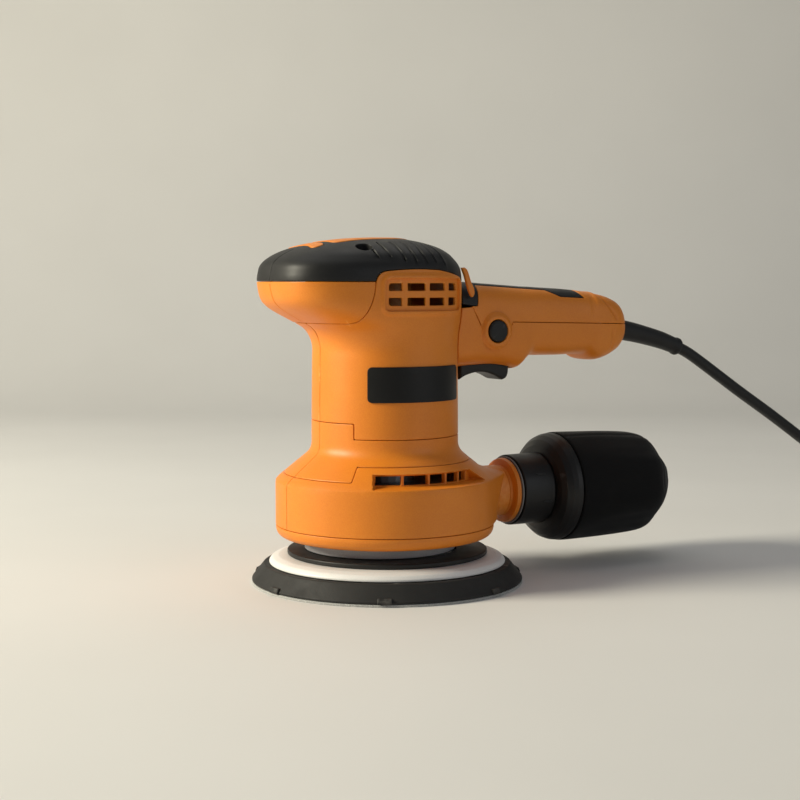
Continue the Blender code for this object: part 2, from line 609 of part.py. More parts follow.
def make_pad(materials):
    hook = ((0, 0), (PAD_RADIUS, 0), (PAD_RADIUS, HOOK_THICKNESS), (0, HOOK_THICKNESS))
    foam = ((17.0, 1.6), (PAD_RADIUS, 1.6), (PAD_RADIUS, 2.5), (68.8, 10.4), (68.4, 10.8), (17.0, 10.8))
    plate = ((BORE_RADIUS, 11.1), (65.4, 11.1), (65.4, 11.9), (63.6, 14.0), (60.4, 15.2), (56.5, 15.7))
    plate += ((BORE_RADIUS, 15.7),)
    rim = ((38.5, 16.0), (55.4, 16.0), (55.4, 18.5), (38.5, 18.5))
    spindle = ((1.8, 16.0), (17.0, 16.0), (17.0, 18.0), (SHAFT_RADIUS, 20.0))
    spindle += ((SHAFT_RADIUS, 31.6), (1.8, 31.6))
    bolt = ((0, 6.5), (6.5, 6.5), (6.5, 10.8), (1.5, 10.8), (1.5, 27.0), (0, 27.0))
    rows = (
        ("hook_disc", hook, PAD_SIDES, "hook_pile"),
        ("pad_foam", foam, PAD_SIDES, "foam"),
        ("backing_plate", plate, PAD_SIDES, "white_nylon"),
        ("pad_rim_disc", rim, PAD_SIDES, "soft_black"),
        ("pad_spindle", spindle, 16, "bright_steel"),
        ("pad_bolt", bolt, 12, "dark_steel"),
    )
    pieces = {}
    for name, profile, sides, material in rows:
        shape = turned(profile, PAD_CENTRE, sides=sides)
        pieces[name] = add_piece(name, shape, materials[material], PAD_CENTRE)
    tabs = []
    for step in range(TABS):
        across = (PAD_CENTRE[1] - 3.6, PAD_CENTRE[1] + 3.6)
        tab = block((PAD_CENTRE[0] + 69, PAD_CENTRE[0] + 75.2), across, (1.8, 4.0))
        tabs.append(spun(tab, radians(239.5) + 2 * pi * step / TABS, PAD_CENTRE))
    carve(pieces["pad_foam"], "UNION", joined(tabs), "tabs")
    for name in ("hook_disc", "pad_foam", "backing_plate"):
        carve(pieces[name], "DIFFERENCE", dust_holes(), "dust_holes")
    shroud = ((39.6, 18.9), (41.8, 18.9), (41.8, 28.0), (48.5, 28.0), (48.5, 29.8), (39.6, 29.8))
    add_piece("dust_shroud", turned(shroud, (-2.4, 1.4, 0), sides=HOUSING_SIDES), materials["grey_rubber"])


def make_dust_bag(materials):
    black = materials["black_plastic"]
    centre = (0.0, 0.0, DUCT_HEIGHT)
    flange = ((11.5, 74.3), (14.6, 74.3), (14.6, 77.5), (18.4, 77.5), (18.4, 79.4), (15.0, 79.4))
    flange += ((14.8, 92.0), (11.5, 92.0))
    add_piece("duct_flange", turned(flange, centre, "X", 20), materials["orange_plastic"])
    seal = ((15.4, 79.7), (19.7, 79.7), (19.7, 80.9), (15.4, 80.9))
    add_piece("duct_seal", turned(seal, centre, "X", 20), materials["grey_rubber"])
    sleeve = ((15.4, SLEEVE_START), (20.5, SLEEVE_START), (20.8, SLEEVE_END), (15.4, SLEEVE_END))
    add_piece("bag_sleeve", turned(sleeve, centre, "X", 20), black, centre)
    start = SLEEVE_END + GAP
    bell = ((15.6, start), (21.6, start), (24.6, 102.8), (27.9, 104.8), (30.2, 107.6), (31.3, 110.6))
    bell += ((31.6, BELL_END), (29.4, BELL_END), (29.0, 110.0), (26.0, 106.0), (15.6, 104.4))
    add_piece("bag_bell", turned(bell, centre, "X", BAG_SIDES), black, centre)
    start = BELL_END + GAP
    bag = ((27.5, start), (31.7, start), (31.6, 130.0), (30.7, 160.0), (29.3, 176.0), (27.4, 181.2))
    bag += ((21.2, 188.2), (14.2, 194.0), (0, BAG_END), (0, BAG_END - 2.4), (13.0, 191.8), (19.2, 186.2))
    bag += ((25.0, 179.6), (26.8, 175.0), (28.2, 154.0), (29.0, 130.0), (27.5, 118.0))
    add_piece("dust_bag", turned(bag, centre, "X", BAG_SIDES), materials["black_fabric"], centre)


def make_cord(materials):
    radii = (6.2, 6.1, 5.9, 5.6, 5.3, 5.1)
    rings = []
    for step, (place, height) in enumerate(BOOT_LINE):
        before = Vector(BOOT_LINE[step - 1] if 0 < step < len(BOOT_LINE) - 1 else BOOT_LINE[step])
        after = Vector(BOOT_LINE[step + 1] if step + 1 < len(BOOT_LINE) else CORD_LINE[1])
        run = (after - before).normalized()
        ring = []
        for turn in range(12):
            angle = 2 * pi * turn / 12
            up = radii[step] * sin(angle)
            ring.append((place - run[1] * up, radii[step] * cos(angle), height + run[0] * up))
        rings.append(ring)
    add_piece("strain_relief", lofted(rings), materials["soft_black"])
    curve = bpy.data.curves.new("power_cord", "CURVE")
    curve.dimensions = "3D"
    curve.bevel_depth = CORD_RADIUS * MM
    curve.bevel_resolution = 2
    curve.use_fill_caps = True
    line = smooth_line([(x, 0.0, z) for x, z in CORD_LINE], 16.0)
    spline = curve.splines.new("POLY")
    spline.points.add(len(line) - 1)
    for point, place in zip(spline.points, line):
        point.co = (*(place * MM), 1.0)
    curve.materials.append(materials["black_plastic"])
    bpy.context.scene.collection.objects.link(bpy.data.objects.new("power_cord", curve))
    coil = ((COIL_INNER, 0), (COIL_OUTER, 0), (COIL_OUTER, COIL_HEIGHT), (COIL_INNER, COIL_HEIGHT))
    add_piece("cord_coil", turned(coil, (*COIL_CENTRE, 0.0), sides=32), materials["black_plastic"])
    make_plug(materials)


def make_plug(materials):
    """A plain two-pin plug that lies beside the coil, with its cord end towards it."""
    rings = []
    for back, half_width, half_height in (
        (0.0, 4.4, 4.4), (12.0, 5.6, 5.6), (15.0, 12.0, 8.6), (22.0, 17.0, 9.5), (42.0, 17.6, 9.6),
        (48.0, 17.0, 9.2),
    ):
        ring = []
        for turn in range(14):
            angle = 2 * pi * (turn + 0.5) / 14
            across = power(cos(angle), 0.7) * half_width
            up = power(sin(angle), 0.7) * half_height
            ring.append((PLUG_BACK - back, PLUG_Y + across, PLUG_LEVEL + up))
        rings.append(ring)
    add_piece("plug_body", lofted(rings), materials["black_plastic"])
    start = PLUG_BACK - 48.0 - GAP
    for side, label in ((-1, "left"), (1, "right")):
        pin = ((0, start), (2.4, start), (2.4, start - 17.5), (1.6, start - 19.0), (0, start - 19.0))
        centre = (0, PLUG_Y + side * 9.5, PLUG_LEVEL)
        add_piece(f"plug_pin_{label}", turned(pin, centre, "X", 12), materials["bright_steel"])


def main():
    clear_scene()
    materials = {
        "orange_plastic": make_material("orange_plastic", (0.82, 0.34, 0.05), 0.48),
        "soft_black": make_material("soft_black", (0.022, 0.022, 0.023), 0.62),
        "black_plastic": make_material("black_plastic", (0.018, 0.018, 0.019), 0.45),
        "black_fabric": make_material("black_fabric", (0.014, 0.014, 0.015), 0.88),
        "dark_plastic": make_material("dark_plastic", (0.05, 0.05, 0.055), 0.55),
        "white_nylon": make_material("white_nylon", (0.78, 0.78, 0.80), 0.42),
        "grey_rubber": make_material("grey_rubber", (0.36, 0.37, 0.40), 0.6),
        "foam": make_material("foam", (0.035, 0.035, 0.038), 0.8),
        "hook_pile": make_material("hook_pile", (0.42, 0.42, 0.42), 0.85),
        "bright_steel": make_material("bright_steel", (0.6, 0.6, 0.62), 0.3, 1.0),
        "dark_steel": make_material("dark_steel", (0.2, 0.2, 0.21), 0.4, 1.0),
        "copper": make_material("copper", (0.72, 0.38, 0.2), 0.35, 1.0),
        "cast_aluminium": make_material("cast_aluminium", (0.55, 0.56, 0.58), 0.5, 1.0),
    }
    make_pad(materials)
    make_fan_housing(materials)
    make_head(materials)
    make_name_plate(materials)
    make_handle(materials)
    make_controls(materials)
    make_motor(materials)
    make_dust_bag(materials)
    make_cord(materials)


main()
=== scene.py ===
"""Looks for the random-orbit sander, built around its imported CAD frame.

Sizes are in millimetres in the CAD model's frame, and MM turns them into metres. The motor's axis is Z and
the sanding face is at z = 0. Left is -Y, the side of the lock button.
"""

import json
from math import atan2, cos, hypot, pi, radians, sin

import bmesh
import bpy
import numpy as np
from mathutils import Matrix, Vector
from mathutils.geometry import delaunay_2d_cdt


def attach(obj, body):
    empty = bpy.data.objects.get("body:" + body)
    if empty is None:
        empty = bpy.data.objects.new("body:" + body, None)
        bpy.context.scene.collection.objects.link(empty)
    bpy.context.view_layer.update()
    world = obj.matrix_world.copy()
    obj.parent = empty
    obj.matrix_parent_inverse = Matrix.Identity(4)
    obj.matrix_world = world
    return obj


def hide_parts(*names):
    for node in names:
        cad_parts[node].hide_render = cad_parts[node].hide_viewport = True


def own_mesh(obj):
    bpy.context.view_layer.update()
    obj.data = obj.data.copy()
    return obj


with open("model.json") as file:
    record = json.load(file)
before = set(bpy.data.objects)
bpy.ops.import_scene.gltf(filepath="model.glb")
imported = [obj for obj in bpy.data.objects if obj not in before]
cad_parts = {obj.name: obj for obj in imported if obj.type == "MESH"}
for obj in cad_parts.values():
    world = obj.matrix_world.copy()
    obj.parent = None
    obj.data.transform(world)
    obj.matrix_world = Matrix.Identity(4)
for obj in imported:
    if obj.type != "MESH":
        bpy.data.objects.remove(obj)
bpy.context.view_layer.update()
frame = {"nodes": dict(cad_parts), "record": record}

MM = 0.001
SEAM = 0.15
GAP = 0.3
WALL = 2.6
LEFT, RIGHT = -1, 1


# Curves and outlines.


def smooth_rows(rows, steps):
    """Rows of numbers on a Catmull-Rom curve through the given rows."""
    rows = np.array(rows, float)
    ends = np.vstack([2 * rows[0] - rows[1], rows, 2 * rows[-1] - rows[-2]])
    t = np.arange(steps)[:, None] / steps
    dense = []
    for a, b, c, d in zip(ends, ends[1:], ends[2:], ends[3:]):
        curve = 2 * b + (c - a) * t + (2 * a - 5 * b + 4 * c - d) * t**2
        dense.append((curve + (3 * b - a - 3 * c + d) * t**3) / 2)
    return np.vstack([*dense, rows[-1]])


def even_line(rows, spacing):
    """Points at even steps along a smooth curve through the given points."""
    dense = smooth_rows(rows, 24)
    lengths = np.append(0, np.cumsum(np.linalg.norm(np.diff(dense, axis=0), axis=1)))
    wanted = np.linspace(0, lengths[-1], max(2, round(lengths[-1] / spacing)) + 1)
    return np.stack([np.interp(wanted, lengths, dense[:, k]) for k in range(dense.shape[1])], axis=1)


def rounded(points, radius, closed=True, spacing=None, steps=5):
    """An outline with round corners. radius is one number or one for each point; spacing limits its edges."""
    points = [np.array(point, float) for point in points]
    count = len(points)
    radii = [radius] * count if np.isscalar(radius) else list(radius)
    made = []
    for number, point in enumerate(points):
        if not closed and number in (0, count - 1):
            made.append(point)
            continue
        to_last = points[number - 1] - point
        to_next = points[(number + 1) % count] - point
        last, following = np.linalg.norm(to_last), np.linalg.norm(to_next)
        straight = np.clip(-(to_last @ to_next) / (last * following), -1, 1)
        turn = np.arccos(straight)
        reach = min(radii[number] * np.tan(turn / 2), 0.48 * last, 0.48 * following)
        if turn < 0.12 or reach < 1e-3:
            made.append(point)
            continue
        start, end = point + to_last / last * reach, point + to_next / following * reach
        for t in np.linspace(0, 1, steps + 1):
            made.append(start * (1 - t) ** 2 + 2 * point * t * (1 - t) + end * t**2)
    if spacing is None:
        return np.array(made)
    dense = []
    for number in range(len(made) if closed else len(made) - 1):
        start, end = made[number], made[(number + 1) % len(made)]
        parts = max(1, int(np.ceil(np.linalg.norm(end - start) / spacing)))
        dense += [start + (end - start) * part / parts for part in range(parts)]
    if not closed:
        dense.append(made[-1])
    return np.array(dense)


# Meshes. A shape is a pair: its points in millimetres, and its faces as point numbers.


def band(first, second, count):
    """The faces between two closed rows of points, from the number of each row's first point."""
    steps = [(k, (k + 1) % count) for k in range(count)]
    return [(first + k, first + after, second + after, second + k) for k, after in steps]


def add_mesh(name, shape, sharp=35):
    """A smooth object from a shape, with edges above the sharp angle kept crisp."""
    mesh = bpy.data.meshes.new(name)
    points = np.asarray(shape[0], float) * MM
    mesh.from_pydata(points.tolist(), [], [tuple(int(n) for n in face) for face in shape[1]])
    mesh.validate()
    work = bmesh.new()
    work.from_mesh(mesh)
    bmesh.ops.remove_doubles(work, verts=work.verts, dist=1e-6)
    bmesh.ops.recalc_face_normals(work, faces=work.faces)
    work.to_mesh(mesh)
    work.free()
    mesh.shade_smooth()
    mesh.set_sharp_from_angle(angle=radians(sharp))
    obj = bpy.data.objects.new(name, mesh)
    bpy.context.scene.collection.objects.link(obj)
    return obj


def joined(shapes):
    """One shape from several."""
    points, faces, first = [], [], 0
    for some_points, some_faces in shapes:
        points.append(np.asarray(some_points, float))
        faces += [tuple(first + number for number in face) for face in some_faces]
        first += len(some_points)
    return np.vstack(points), faces


def turned(profile, centre=(0, 0, 0), axis="Z", sides=128):
    """A closed profile of (radius, height) points, turned about an axis through the centre."""
    points = []
    for radius, height in profile:
        for step in range(sides):
            angle = 2 * pi * (step + 0.5) / sides
            across, along = radius * cos(angle), radius * sin(angle)
            place = {"X": (height, across, along), "Y": (along, height, across), "Z": (across, along, height)}
            points.append(np.add(centre, place[axis]))
    faces = []
    for row in range(len(profile)):
        after = (row + 1) % len(profile)
        if profile[row][0] > 1e-6 or profile[after][0] > 1e-6:
            faces += band(row * sides, after * sides, sides)
    return points, faces


def lofted(rings):
    """A solid through rings of the same number of points, with both ends closed."""
    count = len(rings[0])
    points = [point for ring in rings for point in ring]
    faces = [tuple(range(count)), tuple(range(len(points) - count, len(points)))]
    for row in range(len(rings) - 1):
        faces += band(row * count, (row + 1) * count, count)
    return points, faces


def carve(obj, shape, operation="DIFFERENCE"):
    """Cuts a shape out of an object, or joins it on, for good."""
    helper = add_mesh("helper", shape)
    modifier = obj.modifiers.new("cut", "BOOLEAN")
    modifier.operation = operation
    modifier.solver = "EXACT"
    modifier.object = helper
    graph = bpy.context.evaluated_depsgraph_get()
    mesh = bpy.data.meshes.new_from_object(obj.evaluated_get(graph))
    obj.modifiers.clear()
    obj.data = mesh
    mesh.shade_smooth()
    mesh.set_sharp_from_angle(angle=radians(35))
    bpy.data.objects.remove(helper, do_unlink=True)


def even_normals(obj):
    """Flat areas beside small round edges keep an even shade."""
    modifier = obj.modifiers.new("even_normals", "WEIGHTED_NORMAL")
    modifier.keep_sharp = True
    modifier.weight = 80


# Panels: pieces cut from a curved skin, with rounded rims. A skin maps rows of (u, v), in millimetres, to
# points.


def offset_loop(loop, amount):
    """A closed loop moved to its own left."""
    def left(edges):
        edges = edges / np.linalg.norm(edges, axis=1, keepdims=True)
        return np.stack([-edges[:, 1], edges[:, 0]], axis=1)

    arriving = left(loop - np.roll(loop, 1, axis=0))
    leaving = left(np.roll(loop, -1, axis=0) - loop)
    middle = arriving + leaving
    middle /= np.linalg.norm(middle, axis=1, keepdims=True)
    made = loop + middle * (amount / np.maximum((middle * leaving).sum(axis=1), 0.5))[:, None]
    return unfolded(made, loop)


def unfolded(made, loop):
    """Draws together the places where a moved loop runs backwards, at corners tighter than the move."""
    forward = np.roll(loop, -1, axis=0) - loop
    for _ in range(60):
        run = np.roll(made, -1, axis=0) - made
        folded = (run * forward).sum(axis=1) <= 0.05 * (forward**2).sum(axis=1)
        if not folded.any():
            break
        touched = folded | np.roll(folded, 1)
        made[touched] = ((np.roll(made, 1, axis=0) + np.roll(made, -1, axis=0)) / 2)[touched]
    return made


def area_of(loop):
    """The area inside a loop, below zero if it runs clockwise."""
    x, y = loop.T
    return (x * np.roll(y, -1) - np.roll(x, -1) * y).sum() / 2


def is_inside(points, loop):
    """Which of the points are inside a loop."""
    x, y = points.T
    result = np.zeros(len(points), bool)
    for (x1, y1), (x2, y2) in zip(loop, np.roll(loop, -1, axis=0)):
        if y1 == y2:
            continue
        result ^= ((y1 > y) != (y2 > y)) & (x < (x2 - x1) * (y - y1) / (y2 - y1) + x1)
    return result


def below(skin, uv, depth):
    """Points at a depth under a skin, square to it."""
    step = 0.05
    across = skin(uv + (step, 0)) - skin(uv - (step, 0))
    along = skin(uv + (0, step)) - skin(uv - (0, step))
    normal = np.cross(across, along)
    normal /= np.linalg.norm(normal, axis=1, keepdims=True)
    return skin(uv) - normal * depth[:, None]


def level_inward(skin, uv, depth):
    """Points at a depth under a skin, straight towards the Z axis."""
    points = skin(uv)
    flat = points * (1, 1, 0)
    return points - flat / np.linalg.norm(flat, axis=1, keepdims=True) * depth[:, None]


FILLET = ((0.0, 1.0), (0.134, 0.5), (0.5, 0.134), (1.0, 0.0))


def gap_to(points, loop):
    """How far points are from a closed line."""
    result = np.full(len(points), 1e9)
    for start, run in zip(loop, np.roll(loop, -1, axis=0) - loop):
        share = np.clip((points - start) @ run / max(run @ run, 1e-9), 0, 1)
        result = np.minimum(result, np.linalg.norm(points - start - share[:, None] * run, axis=1))
    return result


def triangles_inside(flat, edges, rims):
    """The triangles that fill the first rim but not the others. An area between rims counts as a whole."""
    low, high = flat.min(axis=0) - 20, flat.max(axis=0) + 20
    flat = np.vstack([flat, low, high, (low[0], high[1]), (high[0], low[1])])
    found = delaunay_2d_cdt([Vector(p) for p in flat], edges, [], 0, 1e-5)
    same = [group[0] for group in found[3]]
    triangles = np.array([[same[n] for n in face] for face in found[2]])
    corners = flat[triangles]
    middles, sides = corners.mean(axis=1), corners[:, 1:] - corners[:, :1]
    keep = is_inside(middles, rims[0])
    for rim in rims[1:]:
        keep &= ~is_inside(middles, rim)
    votes = np.abs(sides[:, 0, 0] * sides[:, 1, 1] - sides[:, 0, 1] * sides[:, 1, 0]) * np.where(keep, 1, -1)
    fixed = {frozenset(edge) for edge in edges}
    owners, area = {}, list(range(len(triangles)))
    for number, triangle in enumerate(triangles.tolist()):
        for pair in (frozenset(triangle[:2]), frozenset(triangle[1:]), frozenset(triangle[::2])):
            if pair not in fixed and pair in owners:
                area[area_root(area, number)] = area_root(area, owners[pair])
            owners[pair] = number
    roots = np.array([area_root(area, number) for number in range(len(triangles))])
    return triangles[np.bincount(roots, votes, len(triangles))[roots] > 0]


def area_root(area, number):
    """The triangle that stands for the area in which a triangle lies."""
    while area[number] != number:
        area[number] = area[area[number]]
        number = area[number]
    return number


def panel(skin, outline, holes=(), thickness=WALL, edge=0.35, grid=1.5, extra=(), inward=below):
    """A closed shape: the part of a skin inside an outline, given a thickness, holes and rounded rims."""
    loops = [outline if area_of(outline) > 0 else outline[::-1]]
    loops += [hole if area_of(hole) < 0 else hole[::-1] for hole in holes]
    rims = [offset_loop(loop, edge) for loop in loops]
    low, high = loops[0].min(axis=0), loops[0].max(axis=0)
    lines = [np.arange(low[k] + grid / 2, high[k], grid) for k in (0, 1)]
    field = np.stack(np.meshgrid(*lines), axis=-1).reshape(-1, 2)
    clear = np.full(len(field), 0.55 * grid)
    for points, room in extra:
        near = np.zeros(len(field), bool)
        for chunk in np.array_split(points, max(1, len(points) // 400)):
            spread = np.linalg.norm(field[:, None] - chunk[None], axis=2)
            near |= (spread.min(axis=1) < 0.7 * grid) if len(chunk) else False
        field, clear = field[~near], clear[~near]
        field = np.vstack([field, points])
        clear = np.append(clear, np.full(len(points), room))
    keep = is_inside(field, rims[0])
    for rim in rims[1:]:
        keep &= ~is_inside(field, rim)
    field, clear = field[keep], clear[keep]
    for rim in rims:
        apart = gap_to(field, rim) > clear
        field, clear = field[apart], clear[apart]
    flat = np.vstack([*rims, field])
    edges, start = [], 0
    for rim in rims:
        edges += [(start + k, start + (k + 1) % len(rim)) for k in range(len(rim))]
        start += len(rim)
    triangles = triangles_inside(flat, edges, rims)
    rings = [below(skin, flat, np.zeros(len(flat))), inward(skin, flat, np.full(len(flat), thickness))]
    faces = [tuple(t) for t in triangles] + [tuple(t[::-1] + len(flat)) for t in triangles]
    total, start = 2 * len(flat), 0
    for loop, rim in zip(loops, rims):
        size = len(loop)
        rows = [start]
        for inset, depth in reversed(FILLET[:-1]):
            rings.append(below(skin, offset_loop(loop, edge * inset), np.full(size, edge * depth)))
            rows.append(total)
            total += size
        rings.append(inward(skin, loop, np.full(size, float(thickness))))
        rows.append(total)
        total += size
        rows.append(len(flat) + start)
        for upper, lower in zip(rows, rows[1:]):
            faces += band(upper, lower, size)
        start += size
    return np.vstack(rings), faces


# The head and the column. Levels: height, reach to the front, half width, reach to the rear, bluntness.

BODY_LEVELS = (
    (70, 40.5, 40.5, 40.5, 2), (95, 40.4, 40.4, 40.4, 2), (113, 40.2, 40.2, 40.2, 2),
    (124, 40.1, 40.1, 40.1, 2), (131, 40.1, 40.1, 40.1, 2), (137, 42, 40.6, 40.4, 2.1),
    (141, 45, 41, 41, 2.3), (144.5, 51, 41.4, 41.5, 2.6), (149, 59.4, 41.8, 42, 2.9),
    (152.5, 64.6, 42, 42.2, 3.1), (157, 68, 42.2, 42.2, 3.2), (165.7, 69.8, 42.3, 42.2, 3.2),
    (171, 69.2, 41.9, 41.6, 3.2), (174.3, 68.2, 41, 40.5, 3.2), (177.5, 65.5, 39, 38, 3.1),
    (181, 59.8, 36, 34.2, 3), (184.3, 51, 30.2, 28.2, 2.8), (187, 38.5, 22, 18.8, 2.6),
    (188.6, 25, 13.4, 10.2, 2.4), (189.3, 11.5, 6.3, 4.6, 2.2),
)
BODY = smooth_rows(BODY_LEVELS, 12)
BODY_ARC = 41.0
GRIP_BOTTOM = 165.7
CHIN = 143.35
NOSE_LINE = ((-38.2, CHIN), (-34.8, 145.3), (-31.5, 151.9), (-29.3, 159), (-28.5, GRIP_BOTTOM))
SIDE_TAB_TOP = (10.5, 171.8)
SIDE_TAB_FRONT = ((-28.0, 166.4), (-26.6, 168.8), (-23.4, 170.8), (-14.7, 171.7), (-2.6, 172.2), SIDE_TAB_TOP)
SIDE_TAB_REAR = (SIDE_TAB_TOP, (20.4, 170.2), (27.0, 168.3), (30.4, 167.0), (31.5, 166.0))
VENT_X = (-22.5, 28.0)
VENT_Z = (150.5, 167.0)
COLUMN_STEP_X, COLUMN_LOW, COLUMN_HIGH = -32.5, 82.0, 90.3
SCREEN_OUTER, SCREEN_INNER = 14.5, 12.8
GRILLE_DEPTH = 1.5
PLATE_RISE = 0.8


def body_at(z):
    """The body's reach to the front, half width, reach to the rear and bluntness at a height."""
    return [np.interp(z, BODY[:, 0], BODY[:, k]) for k in (1, 2, 3, 4)]


def body_radius(theta, z):
    """How far the head's and column's skin is from the motor's axis."""
    front, half, rear, blunt = body_at(z)
    c, s = np.abs(np.cos(theta)), np.abs(np.sin(theta))
    ahead = ((c / front) ** blunt + (s / half) ** blunt) ** (-1 / blunt)
    behind = ((c / rear) ** 2 + (s / half) ** 2) ** -0.5
    return np.where(np.cos(theta) < 0, ahead, behind)


def smoothstep(value):
    value = np.clip(value, 0, 1)
    return value * value * (3 - 2 * value)


def vent_rim(x, z):
    """The raised rim around the side vents: its height over the skin."""
    middle = ((VENT_X[0] + VENT_X[1]) / 2, (VENT_Z[0] + VENT_Z[1]) / 2)
    half = ((VENT_X[1] - VENT_X[0]) / 2 - 3, (VENT_Z[1] - VENT_Z[0]) / 2 - 3)
    dx, dz = np.abs(x - middle[0]) - half[0], np.abs(z - middle[1]) - half[1]
    away = np.hypot(np.maximum(dx, 0), np.maximum(dz, 0)) + np.minimum(np.maximum(dx, dz), 0) - 3
    return 0.95 * smoothstep((3.6 - away) / 2.2)


def body_skin(uv):
    """The head's and column's surface: u runs round the axis and v is the height."""
    theta, z = uv[:, 0] / BODY_ARC, uv[:, 1]
    radius = body_radius(theta, z)
    x, y = radius * np.cos(theta), radius * np.sin(theta)
    rise = np.where(np.abs(y) > 20, vent_rim(x, z), 0)
    seam = 0.55 * np.exp(-((y / 0.34) ** 2)) * (x < -41.5)
    scale = 1 + (rise - seam) / radius
    return np.stack([x * scale, y * scale, z], axis=1)


def body_uv(x, z, side):
    """Where a point of the side view lies on the body's skin."""
    front, half, rear, blunt = body_at(z)
    power, reach = (blunt, front) if x < 0 else (2.0, rear)
    y = half * max(0.0, 1 - min(1.0, abs(x) / reach) ** power) ** (1 / power)
    return (atan2(side * max(y, SEAM), x) % (2 * pi)) * BODY_ARC, z


def sunk_body(depth):
    """The body's skin moved straight towards the axis."""
    return lambda uv: level_inward(body_skin, uv, np.full(len(uv), depth))


def box_corners(x_range, z_range):
    return [(x_range[i], z_range[j]) for i, j in ((0, 0), (1, 0), (1, 1), (0, 1))]


def side_tab():
    """The top edge of the motor housing where it rises over the grip's edge, from front to rear."""
    return np.vstack([smooth_rows(SIDE_TAB_FRONT, 4), smooth_rows(SIDE_TAB_REAR, 4)[1:]])


def parting_places(arc, side):
    """Where one side's front and rear edges run, beside the parting in the middle."""
    return pi * arc - side * SEAM, SEAM if side > 0 else 2 * pi * arc - SEAM


def body_outline(points, side, radius=0.0, spacing=1.2):
    """An outline on the body's skin from a shape in the side view."""
    dense = rounded(points, radius, spacing=2.0)
    return rounded([body_uv(x, z, side) for x, z in dense], 0.0, spacing=spacing)


def make_head(looks):
    heights = np.arange(CHIN + 1.2, GRIP_BOTTOM - 0.8, 1.0)
    seam_rows = [(pi * BODY_ARC + k * 0.12, z) for z in heights for k in range(-4, 5)]
    line = smooth_rows(NOSE_LINE, 5) + (-SEAM, SEAM)
    half = rounded([*line, (-72, GRIP_BOTTOM - SEAM)], 0.0, closed=False, spacing=1.6)
    half[:, 1] = np.clip(half[:, 1], CHIN + SEAM, GRIP_BOTTOM - SEAM)
    centre = pi * BODY_ARC
    upper = [body_uv(x, z, LEFT) for x, z in half[:-1]]
    upper = [(u, v) for u, v in upper if u > centre + 0.5]
    outline = [*upper, (centre, GRIP_BOTTOM - SEAM)] + [(2 * centre - u, v) for u, v in reversed(upper)]
    outline = rounded(rounded(outline, 0.0), 1.6, spacing=1.2)
    nose = add_mesh("nose", panel(body_skin, outline, extra=[(np.array(seam_rows), 0.1)]))
    finish_piece(nose, looks["orange_plastic"], "housing", "orange_plastic", "nose_shell")
    for side, label in ((LEFT, "left"), (RIGHT, "right")):
        make_motor_housing(looks, side, label)
        make_vent_grille(looks, side, label)


def make_motor_housing(looks, side, label):
    line = smooth_rows(NOSE_LINE, 5) + (SEAM, -SEAM)
    line[:, 1] = np.minimum(line[:, 1], GRIP_BOTTOM)
    front, rear = parting_places(BODY_ARC, side)
    path = [(front, COLUMN_HIGH + SEAM)]
    path += [body_uv(COLUMN_STEP_X + SEAM, z, side) for z in (COLUMN_HIGH + SEAM, COLUMN_LOW + SEAM)]
    path += [(rear, COLUMN_LOW + SEAM), (rear, GRIP_BOTTOM - SEAM)]
    path += [body_uv(31.8, GRIP_BOTTOM - SEAM, side)]
    path += [body_uv(x, z, side) for x, z in side_tab()[::-1]]
    path += [body_uv(x, z, side) for x, z in line[::-1][1:]]
    path += [(front, CHIN - SEAM)]
    radii = [0.6, 0.9, 0.9, 0.6, 0.6] + [1.0] * (len(path) - 6) + [0.6]
    outline = rounded(path, radii, spacing=1.1)
    window = box_corners((VENT_X[0] - GAP, VENT_X[1] + GAP), (VENT_Z[0] - GAP, VENT_Z[1] + GAP))
    window = body_outline(window, side, 3.0, 0.9)
    area = [body_uv(x, z, side) for x in np.arange(-29, 35, 0.8) for z in np.arange(146, 171.8, 0.7)]
    holes = [window]
    if side == RIGHT:
        turns = np.arange(0, 2 * pi, pi / 12)
        holes.append(np.array([body_uv(2.3 * cos(a), 133 + 2.3 * sin(a), side) for a in turns]))
    shape = panel(body_skin, outline, holes, grid=1.7, extra=[(np.array(area), 0.35)])
    shape = joined([shape, motor_screen(side)])
    obj = add_mesh(f"motor_shell_{label}", shape)
    finish_piece(obj, looks["orange_plastic"], "housing", "orange_plastic", f"motor_housing_{label}")


def motor_screen(side):
    """Half of the round wall that closes off the motor's top inside the head."""
    steps = np.linspace(radians(3), radians(177), 37)
    rings = []
    for z in (151.0, 168.0):
        outer = [(SCREEN_OUTER * cos(a), side * SCREEN_OUTER * sin(a), z) for a in steps]
        inner = [(SCREEN_INNER * cos(a), side * SCREEN_INNER * sin(a), z) for a in steps[::-1]]
        rings.append(outer + inner)
    return lofted(rings)


